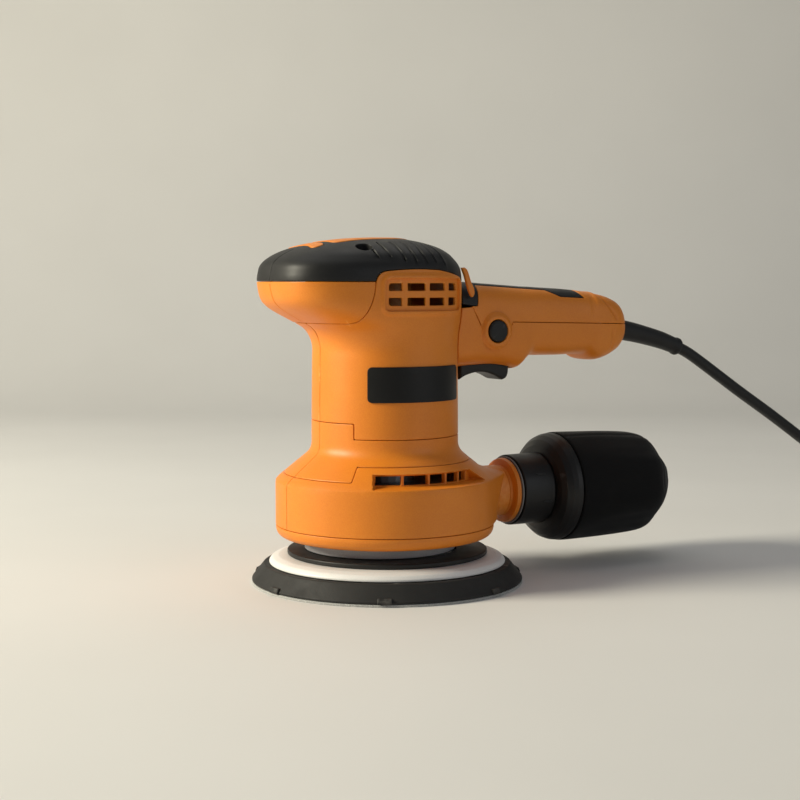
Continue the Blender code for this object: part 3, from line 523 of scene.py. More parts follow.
def make_vent_grille(looks, side, label):
    """The grille behind a side vent: two rows of four openings, with larger corners at the outer ends."""
    tucked = 0.9
    border = box_corners((VENT_X[0] - tucked, VENT_X[1] + tucked), (VENT_Z[0] - tucked, VENT_Z[1] + tucked))
    outline = body_outline(border, side, 2.8, 0.9)
    holes = []
    columns = ((-21.0, -13.1), (-9.7, 1.2), (4.1, 15.0), (18.4, 25.8))
    rows = ((153.0, 157.2), (160.9, 164.8))
    for column, x_range in enumerate(columns):
        for row, z_range in enumerate(rows):
            corners = box_corners(x_range, z_range)
            outer_x, outer_z = (0 if column == 0 else 1), (0 if row == 0 else 1)
            radii = []
            for i, j in ((0, 0), (1, 0), (1, 1), (0, 1)):
                is_outer = column in (0, 3) and i == outer_x and j == outer_z
                radii.append(2.4 if is_outer else 0.5)
            holes.append(body_outline(corners, side, radii, 0.8))
    shape = panel(sunk_body(GRILLE_DEPTH), outline, holes, thickness=1.3, edge=0.4, grid=1.2)
    obj = add_mesh(f"grille_{label}", shape)
    finish_piece(obj, looks["orange_plastic"], "housing", "orange_plastic", f"vent_grille_{label}")


def make_name_plate(looks):
    """A blank plate on the left of the column."""
    left, right = radians(227.5) * BODY_ARC, radians(313.0) * BODY_ARC
    outline = rounded([(left, 101.8), (right, 101.8), (right, 120.7), (left, 120.7)], 2.8, spacing=1.0)
    obj = add_mesh("label_plate", panel(sunk_body(-PLATE_RISE), outline, thickness=0.75, edge=0.3))
    finish_piece(obj, looks["label"], "housing", "soft_black", "name_plate")


# The palm grip. Its flat chart has the top of the dome at the middle and runs down the sides.

CHART_ANGLES = np.linspace(0, 2 * pi, 721)
CHART_STEPS = np.linspace(0, 1, 301)
GROOVES = (
    ((-26.1, -33.6, 182.1), (-25.2, -37.4, 178.4)),
    ((-18.4, -24.4, 186.0), (-18.8, -32.7, 182.5), (-17.9, -37.9, 178.3)),
    ((-10.6, -24.3, 186.1), (-10.7, -33.6, 182.2), (-9.9, -39.1, 177.2)),
    ((-3.7, -24.5, 186.2), (-4.2, -34.5, 181.8), (-3.4, -39.8, 176.1)),
    ((2.0, -25.0, 185.8), (1.6, -35.0, 181.5), (2.8, -39.6, 176.1)),
    ((8.1, -24.8, 185.5), (7.5, -34.0, 181.5), (8.9, -39.1, 175.5)),
    ((12.1, -24.8, 185.0), (13.7, -32.4, 181.2), (15.2, -37.6, 174.8)),
)
GROOVE_DEPTH = 1.15
GROOVE_WIDTH = 0.5
WELL = (-28.5, -28.5)
FRONT_INLAY = (
    (-48.6, 0.0), (-49.4, 5.0), (-51.2, 11.0), (-51.8, 14.0), (-50.4, 15.9), (-48.0, 15.9), (-45.4, 14.4),
    (-43.6, 10.6), (-42.4, 5.0), (-42.0, 0.0),
)
REAR_INLAY = (
    (-37.4, 0.0), (-38.0, 6.0), (-38.6, 11.4), (-37.2, 14.6), (-34.0, 15.6), (-28.0, 14.8), (-20.0, 14.0),
    (-10.0, 13.4), (-2.0, 12.8), (5.0, 10.8), (10.4, 6.6), (12.4, 0.0),
)


def chart_tables():
    """The dome's radius and height along lines from its top to its edge, and the lines' lengths."""
    heights = np.append(np.linspace(189.3, 187, 30), np.linspace(187, GRIP_BOTTOM, 90)[1:])
    across, down, lengths = [], [], []
    for angle in CHART_ANGLES:
        radius = np.append(0, body_radius(np.full(len(heights), angle), heights))
        height = np.append(189.5, heights)
        run = np.append(0, np.cumsum(np.hypot(np.diff(radius), np.diff(height))))
        lengths.append(run[-1])
        across.append(np.interp(CHART_STEPS * run[-1], run, radius))
        down.append(np.interp(CHART_STEPS * run[-1], run, height))
    return np.array(across), np.array(down), np.array(lengths)


CHART_RADIUS, CHART_HEIGHT, CHART_LENGTH = chart_tables()
GROOVE_POINTS = np.vstack([even_line(groove, 0.8) for groove in GROOVES])
GROOVE_POINTS = np.vstack([GROOVE_POINTS, GROOVE_POINTS * (1, -1, 1)])


def chart_lookup(table, angle, share):
    """Values of a chart table at angles round the dome and shares of the way down it."""
    column = (angle % (2 * pi)) / (2 * pi) * (len(CHART_ANGLES) - 1)
    row = np.clip(share, 0, 1) * (len(CHART_STEPS) - 1)
    i = np.minimum(column.astype(int), len(CHART_ANGLES) - 2)
    j = np.minimum(row.astype(int), len(CHART_STEPS) - 2)
    a, b = column - i, row - j
    near = table[i, j] * (1 - b) + table[i, j + 1] * b
    far = table[i + 1, j] * (1 - b) + table[i + 1, j + 1] * b
    return near * (1 - a) + far * a


def dome_skin(uv):
    """The smooth dome, without grooves."""
    angle = np.arctan2(uv[:, 1], uv[:, 0])
    length = np.interp(angle % (2 * pi), CHART_ANGLES, CHART_LENGTH)
    share = np.hypot(uv[:, 0], uv[:, 1]) / length
    radius = chart_lookup(CHART_RADIUS, angle, share)
    height = chart_lookup(CHART_HEIGHT, angle, share)
    return np.stack([radius * np.cos(angle), radius * np.sin(angle), height], axis=1)


def grip_skin(uv):
    """The dome with its grooves and the seam at its nose."""
    points = dome_skin(uv)
    near = np.full(len(points), 9.0)
    for start in range(0, len(GROOVE_POINTS), 60):
        spread = np.linalg.norm(points[:, None] - GROOVE_POINTS[None, start : start + 60], axis=2)
        near = np.minimum(near, spread.min(axis=1))
    dent = GROOVE_DEPTH * np.exp(-((near / GROOVE_WIDTH) ** 2)) - 0.42 * np.exp(-(((near - 1.15) / 0.5) ** 2))
    x, y = points[:, 0], points[:, 1]
    dent += 0.55 * np.exp(-((y / 0.34) ** 2)) * (x < -55)
    inward = points - (0, 0, 150)
    inward /= np.linalg.norm(inward, axis=1, keepdims=True)
    return points - inward * dent[:, None]


def chart_of(x, y, z=None):
    """Where a point of the dome lies on the chart, from its plan, or from its height low on the sides."""
    angle = atan2(y, x)
    column = np.full(len(CHART_STEPS), angle)
    if z is None:
        share = np.interp(hypot(x, y), chart_lookup(CHART_RADIUS, column, CHART_STEPS), CHART_STEPS)
    else:
        share = np.interp(-z, -chart_lookup(CHART_HEIGHT, column, CHART_STEPS), CHART_STEPS)
    run = share * np.interp(angle % (2 * pi), CHART_ANGLES, CHART_LENGTH)
    return run * cos(angle), run * sin(angle)


def inlay_loop(upper):
    """A closed outline on the chart, from one half of a shape that lies along the middle of the grip."""
    edge = even_line(upper, 0.8)
    loop = [*edge, *(edge[::-1][1:-1] * (1, -1))]
    return np.array([chart_of(x, y) for x, y in loop])


def grip_outline():
    """The grip's lower edge on the chart, notched on both sides for the motor housing's tabs."""
    base = GRIP_BOTTOM + SEAM
    tab = side_tab()
    tab[:, 0] += np.clip((tab[:, 0] - 5) / 60, -0.35, 0.35)
    tab[:, 1] += GAP
    edge = []
    for side in (RIGHT, LEFT):
        notch = [body_uv(x, z, side) for x, z in tab]
        notch.sort()
        low, high = notch[0][0] - 0.25, notch[-1][0] + 0.25
        start, end = (0.0, pi * BODY_ARC) if side == RIGHT else (pi * BODY_ARC, 2 * pi * BODY_ARC)
        edge += [(u, base) for u in np.arange(start, low - 0.3, 1.0)] + [(low, base), *notch, (high, base)]
        edge += [(u, base) for u in np.arange(high + 0.8, end - 0.5, 1.0)]
    outline = []
    for u, z in edge:
        angle = u / BODY_ARC
        radius = float(body_radius(np.array([angle]), np.array([z]))[0])
        outline.append(chart_of(radius * cos(angle), radius * sin(angle), z))
    return rounded(outline, 0.0, spacing=1.3)


def make_palm_grip(looks):
    """The soft cover of the dome, with its two inlays and the screw in its recess."""
    front, rear = inlay_loop(FRONT_INLAY), inlay_loop(REAR_INLAY)
    centre = np.array(chart_of(*WELL))
    downhill = centre / np.linalg.norm(centre)
    across = np.array((-downhill[1], downhill[0]))
    well = well_ring(centre, downhill, across, 1.0)
    extra = []
    for x, y, z in GROOVE_POINTS:
        u, v = chart_of(x, y)
        outward = np.array((u, v)) / hypot(u, v)
        beside = np.array((-outward[1], outward[0]))
        extra += [(u, v) + beside * k for k in (-1.5, -1.0, -0.6, -0.3, 0.0, 0.3, 0.6, 1.0, 1.5)]
    seam = [(-run, k * 0.16) for run in np.arange(57, 96, 1.0) for k in range(-5, 6)]
    grown = [offset_loop(loop, GAP if area_of(loop) < 0 else -GAP) for loop in (front, rear)]
    extra = thinned(np.array(extra), 0.28)
    fine = [(extra, 0.3), (np.array(seam), 0.12)]
    shape = panel(grip_skin, grip_outline(), [*grown, well], edge=0.45, grid=1.5, extra=fine)
    grip = add_mesh("grip_cover", joined([shape, well_cup(centre, downhill, across)]), sharp=50)
    finish_piece(grip, looks["soft_black"], "housing", "soft_black", "palm_grip")
    for label, loop in (("front", front), ("rear", rear)):
        obj = add_mesh(f"inlay_{label}", panel(raised_dome, loop, edge=0.5, grid=1.2))
        finish_piece(obj, looks["orange_plastic"], "housing", "orange_plastic", f"grip_inlay_{label}")
    make_recess_screw(looks, centre)


def thinned(points, room):
    """The points with none nearer than this to an earlier one."""
    kept, cells = [], {}
    for point in points:
        key = (int(point[0] // room), int(point[1] // room))
        near = [(key[0] + i, key[1] + j) for i in (-1, 0, 1) for j in (-1, 0, 1)]
        around = [cells[k] for k in near if k in cells]
        if all(hypot(*(point - other)) >= room for other in around):
            cells[key] = point
            kept.append(point)
    return np.array(kept)


def raised_dome(uv):
    return dome_skin(uv) + (0, 0, 0.3)


def well_ring(centre, downhill, across, share):
    """The recess's oval outline on the chart, at a share of its full size."""
    turns = np.arange(0, 2 * pi, pi / 20)
    return np.array([centre + downhill * 5.2 * share * cos(a) + across * 4.4 * share * sin(a) for a in turns])


def well_cup(centre, downhill, across):
    """The deep round recess over the screw: a wall and a floor, open upwards."""
    rows, faces = [], []
    steps = ((2.2, 1.0), (6.6, 0.9), (7.0, 0.84), (7.0, 0.1), (7.6, 0.1), (7.6, 0.95), (2.2, 1.08))
    for depth, share in steps:
        ring = well_ring(centre, downhill, across, share)
        rows.append(below(dome_skin, ring, np.full(len(ring), depth)))
    count = len(rows[0])
    for row in range(len(rows)):
        faces += band(row * count, (row + 1) % len(rows) * count, count)
    return np.vstack(rows), faces


def make_recess_screw(looks, centre):
    """The screw at the bottom of its round recess, square to the dome."""
    top = below(dome_skin, centre[None], np.zeros(1))[0]
    deep = below(dome_skin, centre[None], np.full(1, 1.0))[0]
    axis = Vector(top - deep).normalized()
    profile = ((0, -9), (1.5, -9), (1.5, -7.2), (2.9, -7.2), (2.9, -5.6), (2.3, -4.9), (0, -4.9))
    head = turned(rounded(profile, 0.4), sides=48)
    socket = turned(((0, -6.2), (1.5, -6.2), (1.5, 0), (0, 0)), sides=6)
    place = axis.to_track_quat("Z", "Y").to_matrix()
    moved = [[tuple(place @ Vector(p) + Vector(top)) for p in points] for points, _ in (head, socket)]
    obj = add_mesh("recess_screw", (moved[0], head[1]))
    carve(obj, (moved[1], socket[1]))
    finish_piece(obj, looks["dark_steel"], "housing", "dark_steel", "grip_screw")


# The fan housing and the collar above it.

SHELL_RADIUS = 60.5
SHELL = ((60.5, 30), (60.5, 57.4), (40.5, 73.8), (40.45, 96))
SHELL = rounded(SHELL, (0, 3.0, 9.0, 0), closed=False, spacing=0.5, steps=10)
FAIRING = ((0.5, 30), (0.58, 38), (0.92, 57.4), (0, 63.2), (0, 96))
FAIRING = rounded(FAIRING, (0, 0, 1.6, 3.0, 0), closed=False, spacing=0.25, steps=8)
FAIRING_END = 72.0
FAIRING_HALF = 14.0
TANGENT = np.arctan2(FAIRING_HALF, FAIRING_END) + np.arccos(SHELL_RADIUS / hypot(FAIRING_END, FAIRING_HALF))
SHELL_ARC = 60.5
SHOULDER_STEP, SHOULDER_LOW, SHOULDER_HIGH = radians(222.5), 61.2, 68.5
SLOT = (
    (radians(234.6), 58.0), (radians(304.0), 58.0), (radians(308.0), 59.0), (radians(303.0), 65.0),
    (radians(233.2), 65.4),
)
VENT_SPANS = ((234.6, 250.4), (252.1, 267.5), (269.1, 280.2), (281.8, 291.8), (293.4, 300.6))
SLOT_WALL = float(np.interp(65.4, SHELL[:, 1], SHELL[:, 0])) - 0.9
VENT_LOW, VENT_HIGH = 59.2, 64.2
DUCT_HEIGHT = 45.0
DUCT_BORE = 12.6


def distance_in(points, loop):
    """How far points are inside a convex outline that runs anticlockwise; less than zero outside."""
    result = np.full(len(points), 1e9)
    for start, end in zip(loop, np.roll(loop, -1, axis=0)):
        run = (end - start) / np.linalg.norm(end - start)
        result = np.minimum(result, run[0] * (points[:, 1] - start[1]) - run[1] * (points[:, 0] - start[0]))
    return result


def shell_skin(uv):
    """The round housing, with the vent's recess and the fairing that runs out to the duct."""
    theta, z = uv[:, 0] / SHELL_ARC, uv[:, 1]
    away = np.abs((theta + pi) % (2 * pi) - pi)
    slot = np.array(SLOT) * (SHELL_ARC, 1)
    mirrored_u = np.where(uv[:, 0] < pi * SHELL_ARC, 2 * pi * SHELL_ARC - uv[:, 0], uv[:, 0])
    deep = smoothstep(distance_in(np.stack([mirrored_u, z], axis=1), slot) / 0.8)
    side = np.where(away < TANGENT, SHELL_RADIUS / np.cos(np.clip(away - TANGENT, -1.4, 1.4)), SHELL_RADIUS)
    end = FAIRING_END / np.maximum(np.cos(np.minimum(away, 1.2)), 0.1)
    sharp = 1.4
    reach = -np.log(np.exp(-sharp * (side - 60)) + np.exp(-sharp * (end - 60))) / sharp + 60
    reach = np.where(away < TANGENT, reach, SHELL_RADIUS)
    radius = np.interp(z, SHELL[:, 1], SHELL[:, 0])
    radius = radius + (reach - SHELL_RADIUS) * np.interp(z, FAIRING[:, 1], FAIRING[:, 0])
    radius -= deep * np.maximum(radius - SLOT_WALL, 0)
    return np.stack([radius * np.cos(theta), radius * np.sin(theta), z], axis=1)


def step_u(spare, side):
    """The shoulder's step in its parting, which runs straight up towards the axis."""
    angle = SHOULDER_STEP if side < 0 else 2 * pi - SHOULDER_STEP
    return angle * SHELL_ARC - side * spare


def shell_uv(x, z, side):
    """Where a point of the side view lies on the round housing's skin."""
    radius = float(np.interp(z, SHELL[:, 1], SHELL[:, 0]))
    angle = np.arccos(np.clip(x / radius, -1, 1))
    return (angle if side > 0 else 2 * pi - angle) * SHELL_ARC, z


def make_fan_housing(looks):
    profile = (
        (45.5, 25.2), (54.0, 25.2), (57.6, 26.2), (59.6, 28.0), (60.4, 30.5), (60.4, 32.4), (57.7, 32.4),
        (57.7, 27.7), (45.5, 27.7),
    )
    radii = (0.6, 6, 5, 5, 4, 0.4, 0.4, 1.0, 0.6)
    rim = add_mesh("housing_rim", turned(rounded(profile, radii), sides=180))
    finish_piece(rim, looks["orange_plastic"], "housing", "orange_plastic", "fan_housing_rim")
    for side, label in ((LEFT, "left"), (RIGHT, "right")):
        make_fan_shell(looks, side, label)
        make_collar(looks, side, label)


def make_fan_shell(looks, side, label):
    """Half of the round housing, with its vent and its half of the duct's neck."""
    front, rear = parting_places(SHELL_ARC, side)
    low, high = 32.7, SHOULDER_HIGH - SEAM
    inner = step_u(SEAM, side)
    path = [(front, low), (front, SHOULDER_LOW - SEAM), (inner, SHOULDER_LOW - SEAM), (inner, high)]
    path += [(rear, high), (rear, DUCT_HEIGHT + DUCT_BORE)]
    for a in np.radians(np.arange(10, 151, 10)):
        across = side * DUCT_BORE * sin(a) / FAIRING_END * SHELL_ARC
        path.append((rear + across, DUCT_HEIGHT + DUCT_BORE * cos(a)))
    path.append((path[-1][0], low))
    radii = [0.6, 0.7, 0.9, 0.9, 0.6] + [0] * 15 + [0.6, 0.6]
    outline = rounded(path, radii, spacing=1.2)
    holes = []
    for start, end in VENT_SPANS:
        a, b = (radians(v if side < 0 else 360 - v) * SHELL_ARC for v in (start, end))
        holes.append(rounded(box_corners((a, b), (VENT_LOW, VENT_HIGH)), 0.7, spacing=0.9))
    top = [(u, z) for u in np.arange(-48, 48.1, 1.2) for z in np.arange(56.0, 64.6, 0.45)]
    top = np.array(top) + (0 if side > 0 else 2 * pi * SHELL_ARC, 0)
    slot_u = np.arange(231, 311, 0.45) * SHELL_ARC * pi / 180
    slot = [(u, z) for u in slot_u for z in np.arange(57.2, 66.2, 0.33)]
    slot = np.array([((u if side < 0 else 2 * pi * SHELL_ARC - u), z) for u, z in slot])
    fine = [(top, 0.35), (slot, 0.25)]
    shape = panel(shell_skin, outline, holes, grid=1.8, extra=fine, inward=level_inward)
    obj = add_mesh(f"fan_shell_{label}", joined([shape, fairing_floor(side), duct_neck(side)]))
    finish_piece(obj, looks["orange_plastic"], "housing", "orange_plastic", f"fan_housing_{label}")


def fairing_floor(side):
    """The underside of the fairing, behind the edge of the round rim."""
    arc = [(58.2 * cos(a), side * 58.2 * sin(a)) for a in np.linspace(radians(0.3), radians(44), 16)]
    outline = [(64.0, side * SEAM), (64.0, side * DUCT_BORE), *reversed(arc)]
    return lofted([[(x, y, z) for x, y in outline] for z in (32.9, 35.0)])


def duct_neck(side):
    """Half of the duct's neck, from inside the fairing to the ring behind it."""
    rings = []
    forth, back = np.linspace(0.012, pi - 0.012, 40), np.linspace(pi - 0.012, 0.012, 40)
    for x, outer, inner in ((62.0, 14.9, 11.6), (73.4, 14.9, 11.6), (73.8, 14.75, 11.7), (74.0, 14.4, 11.9)):
        ring = []
        for radius, angles in ((outer, forth), (inner, back)):
            ring += [(x, side * radius * sin(a), DUCT_HEIGHT + radius * cos(a)) for a in angles]
        rings.append(ring)
    return lofted(rings)


def make_collar(looks, side, label):
    """Half of the sloping collar between the two stepped partings."""
    front, rear = parting_places(SHELL_ARC, side)
    outer = step_u(-SEAM, side)
    path = [(front, SHOULDER_LOW + SEAM), (outer, SHOULDER_LOW + SEAM), (outer, SHOULDER_HIGH + SEAM)]
    path += [(rear, SHOULDER_HIGH + SEAM), (rear, COLUMN_LOW - SEAM)]
    path += [shell_uv(COLUMN_STEP_X - SEAM, z, side) for z in (COLUMN_LOW - SEAM, COLUMN_HIGH - SEAM)]
    path += [(front, COLUMN_HIGH - SEAM)]
    outline = rounded(path, (0.6, 0.9, 0.9, 0.6, 0.6, 0.9, 0.9, 0.6), spacing=1.2)
    shape = panel(shell_skin, outline, grid=1.4, inward=level_inward)
    obj = add_mesh(f"collar_shell_{label}", shape)
    finish_piece(obj, looks["orange_plastic"], "housing", "orange_plastic", f"collar_{label}")


# The rear handle. Levels: distance back, top, bottom, half width.

HANDLE_LEVELS = (
    (30, 166.5, 117.2, 22.7), (41, 166, 117.8, 22.2), (50, 165.4, 118.4, 21.6), (62, 164.6, 118.6, 20.6),
    (71, 164.0, 117.6, 19.9), (77.5, 163.6, 116.2, 19.5), (81.5, 163.3, 116.6, 19.2),
    (87.5, 162.9, 122.2, 18.8), (91, 162.8, 123.2, 18.6), (100, 162.3, 123.1, 18.4),
    (112, 161.7, 123, 18.3), (121, 161.0, 123.3, 18.3), (127, 160.4, 123.4, 18.4),
    (129.6, 160.1, 122.8, 18.5), (131.4, 159.8, 121.0, 18.7), (133.6, 159.5, 119.9, 18.9),
    (138, 158.7, 119.6, 19), (144, 157.4, 121.2, 18.7), (150, 155.0, 124.2, 17.6),
    (153.6, 152.6, 126.4, 15.8), (156.2, 149.4, 128.2, 13.4), (158.0, 146.2, 129.6, 10.4),
    (158.6, 144.4, 130.2, 8.0), (158.9, 143.3, 130.3, 6.8),
)
HANDLE = smooth_rows(HANDLE_LEVELS, 10)
HANDLE_ARC = 19.0
HANDLE_BLUNT = 3.3
BLUNT_END = (151.0, 159.4)
HANDLE_PARTING = ((43.5, 151.8), (51.3, 138.6), (68.9, 138.3), (72.1, 143.0), (104.6, 142.2), (159.2, 140.8))
HANDLE_RUN = np.append(0, np.cumsum(np.hypot(np.diff(HANDLE[:, 0]), np.diff(HANDLE[:, 3]))))
BUTTON = (59.6, 138.1)


def collar_relief(x, z):
    """The band and the grooves of the handle's end, as heights over its surface."""
    slanted = 139.6 + 0.75 * (153 - z)
    raised = 0.5 * smoothstep((x - 130) / 4) * smoothstep((slanted - x) / 1.2) * smoothstep((z - 148) / 5)
    groove = 0.75 * np.exp(-(((x - slanted) / 0.9) ** 2)) * smoothstep((z - 142.6) / 2.5)
    low_groove = 0.6 * np.exp(-(((x - 143.4) / 0.9) ** 2))
    low_groove = low_groove * smoothstep((139.5 - z) / 3) * smoothstep((z - 124) / 4)
    mark = 0.35 * np.exp(-(((x - 128.8) / 0.7) ** 2))
    mark = mark * smoothstep((z - 145.5) / 2) * smoothstep((156.5 - z) / 2)
    return raised - groove - low_groove - mark


def handle_skin(uv):
    """The handle's surface: u runs round it and v back along it."""
    angle = uv[:, 0] / HANDLE_ARC
    x, top, bottom, half = (np.interp(uv[:, 1], HANDLE_RUN, HANDLE[:, k]) for k in range(4))
    middle, tall = (top + bottom) / 2, (top + bottom) / 2 - bottom
    c, s = np.abs(np.cos(angle)), np.abs(np.sin(angle))
    blunt = np.interp(x, BLUNT_END, (HANDLE_BLUNT, 2.0))
    radius = ((c / half) ** blunt + (s / tall) ** blunt) ** (-1 / blunt)
    radius = radius + collar_relief(x, middle + radius * np.sin(angle))
    return np.stack([x, radius * np.cos(angle), middle + radius * np.sin(angle)], axis=1)


def handle_uv(x, z, side, lower=False):
    """Where a side view's point lies on the handle's surface. lower counts the right side as a turn on."""
    run = float(np.interp(x, HANDLE[:, 0], HANDLE_RUN))
    top, bottom, half = (float(np.interp(x, HANDLE[:, 0], HANDLE[:, k])) for k in (1, 2, 3))
    middle, tall = (top + bottom) / 2, (top - bottom) / 2
    rise = np.clip((z - middle) / tall, -0.985, 0.985)
    blunt = float(np.interp(x, BLUNT_END, (HANDLE_BLUNT, 2.0)))
    across = side * half * (1 - abs(rise) ** blunt) ** (1 / blunt)
    angle = atan2(rise * tall, across)
    if angle < -pi / 2 or (lower and side > 0):
        angle += 2 * pi
    return angle * HANDLE_ARC, run


def neck_edge(start, end, spare=0.5, count=60):
    """The handle's front rim, where it meets the column and the head, between two places round the handle."""
    u = np.linspace(start, end, count)
    x = np.full(count, 41.0)
    for _ in range(30):
        run = np.interp(x, HANDLE[:, 0], HANDLE_RUN)
        points = handle_skin(np.stack([u, run], axis=1))
        rear = body_at(points[:, 2])[2] + spare
        x = 0.5 * x + 0.5 * np.sqrt(np.maximum(rear**2 - points[:, 1] ** 2, 25.0))
    return [tuple(pair) for pair in zip(u, np.interp(x, HANDLE[:, 0], HANDLE_RUN))]


def side_line(points, side, lower=False):
    """A line on the handle's surface from a line of the side view."""
    return [handle_uv(x, z, side, lower) for x, z in rounded(points, 0.0, closed=False, spacing=1.5)]


def parting_above(side, drop):
    """The parting line from the neck to the handle's end; on the left it goes round the button's boss."""
    line = [(x, z + drop) for x, z in HANDLE_PARTING]
    if side == RIGHT:
        return line
    reach = 8.9
    arc = [(BUTTON[0] + reach * cos(a), BUTTON[1] + reach * sin(a)) for a in np.linspace(pi - 0.12, 0.12, 15)]
    arc = arc if drop > 0 else [(x, 2 * BUTTON[1] - z) for x, z in arc]
    before, after = (50.4, line[1][1] + 1.2 * (drop > 0)), (69.2, line[2][1] + 0.3 * (drop > 0))
    return [line[0], before, *arc, after, *line[3:]]


STRIP_LINE = ((50.3, 164.1), (98.5, 161.1), (107.5, 157.2), (124.0, 156.4), (121.5, 160.3))
STRIP_SEAT = ((49.9, 163.8), (98.4, 160.8), (107.4, 156.9), (124.6, 156.1), (122.0, 160.3))
SADDLE_LINE = ((44.6, 152.4), (47.0, 152.4), (48.3, 158), (49.6, 163.9))
SADDLE_SEAT = ((43.9, 152.1), (47.3, 152.1), (48.6, 158.0), (49.9, 163.8))


def make_handle(looks):
    orange, black = looks["orange_plastic"], looks["soft_black"]
    make_upper_shell(orange)
    make_lower_shell(orange)
    make_handle_covers(black)
    for side, label in ((LEFT, "left"), (RIGHT, "right")):
        make_saddle_fin(orange, side, label)
    make_lock_bezel(orange)
    make_handle_screws(looks)


def blunt_end(start, end):
    """The rear end of the handle's surface, between two places round it."""
    return [(u, HANDLE_RUN[-1]) for u in np.linspace(start, end, 24)][1:-1]


def make_upper_shell(look):
    front = rounded(SADDLE_SEAT, (0, 0.4, 0, 0), closed=False)
    left, right = (
        side_line(parting_above(side, SEAM)[::-1], side) + side_line([*front, *STRIP_SEAT[1:]], side)
        for side in (LEFT, RIGHT)
    )
    outline = rounded(left + right[::-1] + blunt_end(right[0][0], left[0][0]), 0.6, spacing=1.2)
    shape = panel(handle_skin, outline, thickness=2.2, grid=1.5, extra=[(collar_rows(-10, 75), 0.35)])
    obj = add_mesh("handle_shell_upper", shape)
    finish_piece(obj, look, "housing", "orange_plastic", "handle_upper_shell")


def make_lower_shell(look):
    """The lower shell, open at the trigger's slot, with a screw hole on the right."""
    left = side_line(parting_above(LEFT, -SEAM), LEFT, True)
    right = side_line(parting_above(RIGHT, -SEAM), RIGHT, True)
    slot = handle_slot()
    neck_right = neck_edge(right[0][0], slot[0][0])
    neck_left = neck_edge(slot[-1][0], left[0][0])
    path = left + blunt_end(left[-1][0], right[-1][0]) + right[::-1]
    path += neck_right[1:] + slot[1:-1] + neck_left[:-1]
    outline = rounded(path, 0.5, spacing=1.2)
    turns = np.arange(0, 2 * pi, pi / 12)
    hole = np.array([handle_uv(118 + 2.4 * cos(a), 131 + 2.4 * sin(a), RIGHT, True) for a in turns])
    fine = [(collar_rows(45, 130), 0.35)]
    shape = panel(handle_skin, outline, [hole], thickness=2.2, grid=1.5, extra=fine)
    obj = add_mesh("handle_shell_lower", shape)
    finish_piece(obj, look, "housing", "orange_plastic", "handle_lower_shell")


def make_handle_covers(look):
    """The soft strip along the top of the handle, and the soft saddle in front of it."""
    halves = [side_line(STRIP_LINE, side) for side in (LEFT, RIGHT)]
    outline = rounded(halves[0] + halves[1][::-1], 0.8, spacing=1.2)
    obj = add_mesh("handle_strip", panel(handle_skin, outline, thickness=2.0, edge=0.5))
    finish_piece(obj, look, "housing", "soft_black", "handle_top_grip")
    halves = [side_line(SADDLE_LINE, side) for side in (LEFT, RIGHT)]
    neck = neck_edge(halves[1][0][0], halves[0][0][0], spare=0.6)
    outline = rounded(halves[0] + halves[1][::-1] + neck[1:-1], 0.5, spacing=1.1)
    obj = add_mesh("saddle_cover", panel(handle_skin, outline, thickness=2.0, edge=0.4, grid=1.2))
    finish_piece(obj, look, "housing", "soft_black", "saddle_trim")


def collar_rows(start, end):
    """Close rows of points across the handle's end, where its surface has grooves."""
    rows = np.interp(np.arange(120, 150, 0.55), HANDLE[:, 0], HANDLE_RUN)
    return np.array([(u, run) for run in rows for u in np.arange(start, end, 0.9)])


def handle_slot():
    """The edge of the trigger's slot in the handle's underside, from the neck's right rim to its left one."""
    def round_place(x, y):
        bottom = float(np.interp(x, HANDLE[:, 0], HANDLE[:, 2]))
        middle = (float(np.interp(x, HANDLE[:, 0], HANDLE[:, 1])) + bottom) / 2
        angle = atan2(bottom - middle, y) + 2 * pi
        return angle * HANDLE_ARC, float(np.interp(x, HANDLE[:, 0], HANDLE_RUN))

    half, end = 10.0, 78.4
    right = [round_place(x, half) for x in np.arange(44.5, end - 0.2, 1.5)] + [round_place(end, half)]
    across = [round_place(end, y) for y in np.linspace(half, -half, 14)][1:-1]
    left = [round_place(end, -half)] + [round_place(x, -half) for x in np.arange(44.5, end - 0.2, 1.5)][::-1]
    first = neck_edge(right[0][0], right[0][0] + 0.01, count=2)[0]
    last = neck_edge(left[-1][0], left[-1][0] + 0.01, count=2)[0]
    return [first, *right, *across, *left, last]


def make_saddle_fin(look, side, label):
    """The S-shaped strip from the head's side down over the saddle."""
    front = ((34.9, 173.2), (36.5, 169.8), (37.7, 166.2), (39.5, 161.0), (40.7, 158.4), (41.9, 157.1))
    back = (
        (42.7, 157.3), (43.5, 159.2), (43.2, 161.9), (42.0, 164.2), (41.0, 166.2), (39.9, 169.4),
        (38.6, 172.2), (37.0, 173.4),
    )
    loop = np.vstack([even_line(front, 0.6), even_line(back, 0.6)])
    rings = []
    for across, inset in ((22.4, 0.0), (23.4, 0.0), (23.75, 0.15), (23.95, 0.45), (24.0, 0.8)):
        rings.append([(x, side * across, z) for x, z in offset_loop(loop, inset)])
    obj = add_mesh(f"saddle_stripe_{label}", lofted(rings), sharp=50)
    finish_piece(obj, look, "housing", "orange_plastic", f"saddle_fin_{label}")


def make_lock_bezel(look):
    """The raised boss round the lock button."""
    profile = (
        (6.5, -17.6), (8.7, -17.6), (8.7, -20.9), (10.9, -21.15), (9.7, -22.0), (8.4, -23.2), (6.5, -23.3),
    )
    profile = rounded(profile, (0.3, 0.3, 0.1, 0.1, 3.0, 1.6, 0.8), steps=6)
    obj = add_mesh("button_boss", turned(profile, (BUTTON[0], 0, BUTTON[1]), "Y", 96))
    finish_piece(obj, look, "housing", "orange_plastic", "lock_button_bezel")


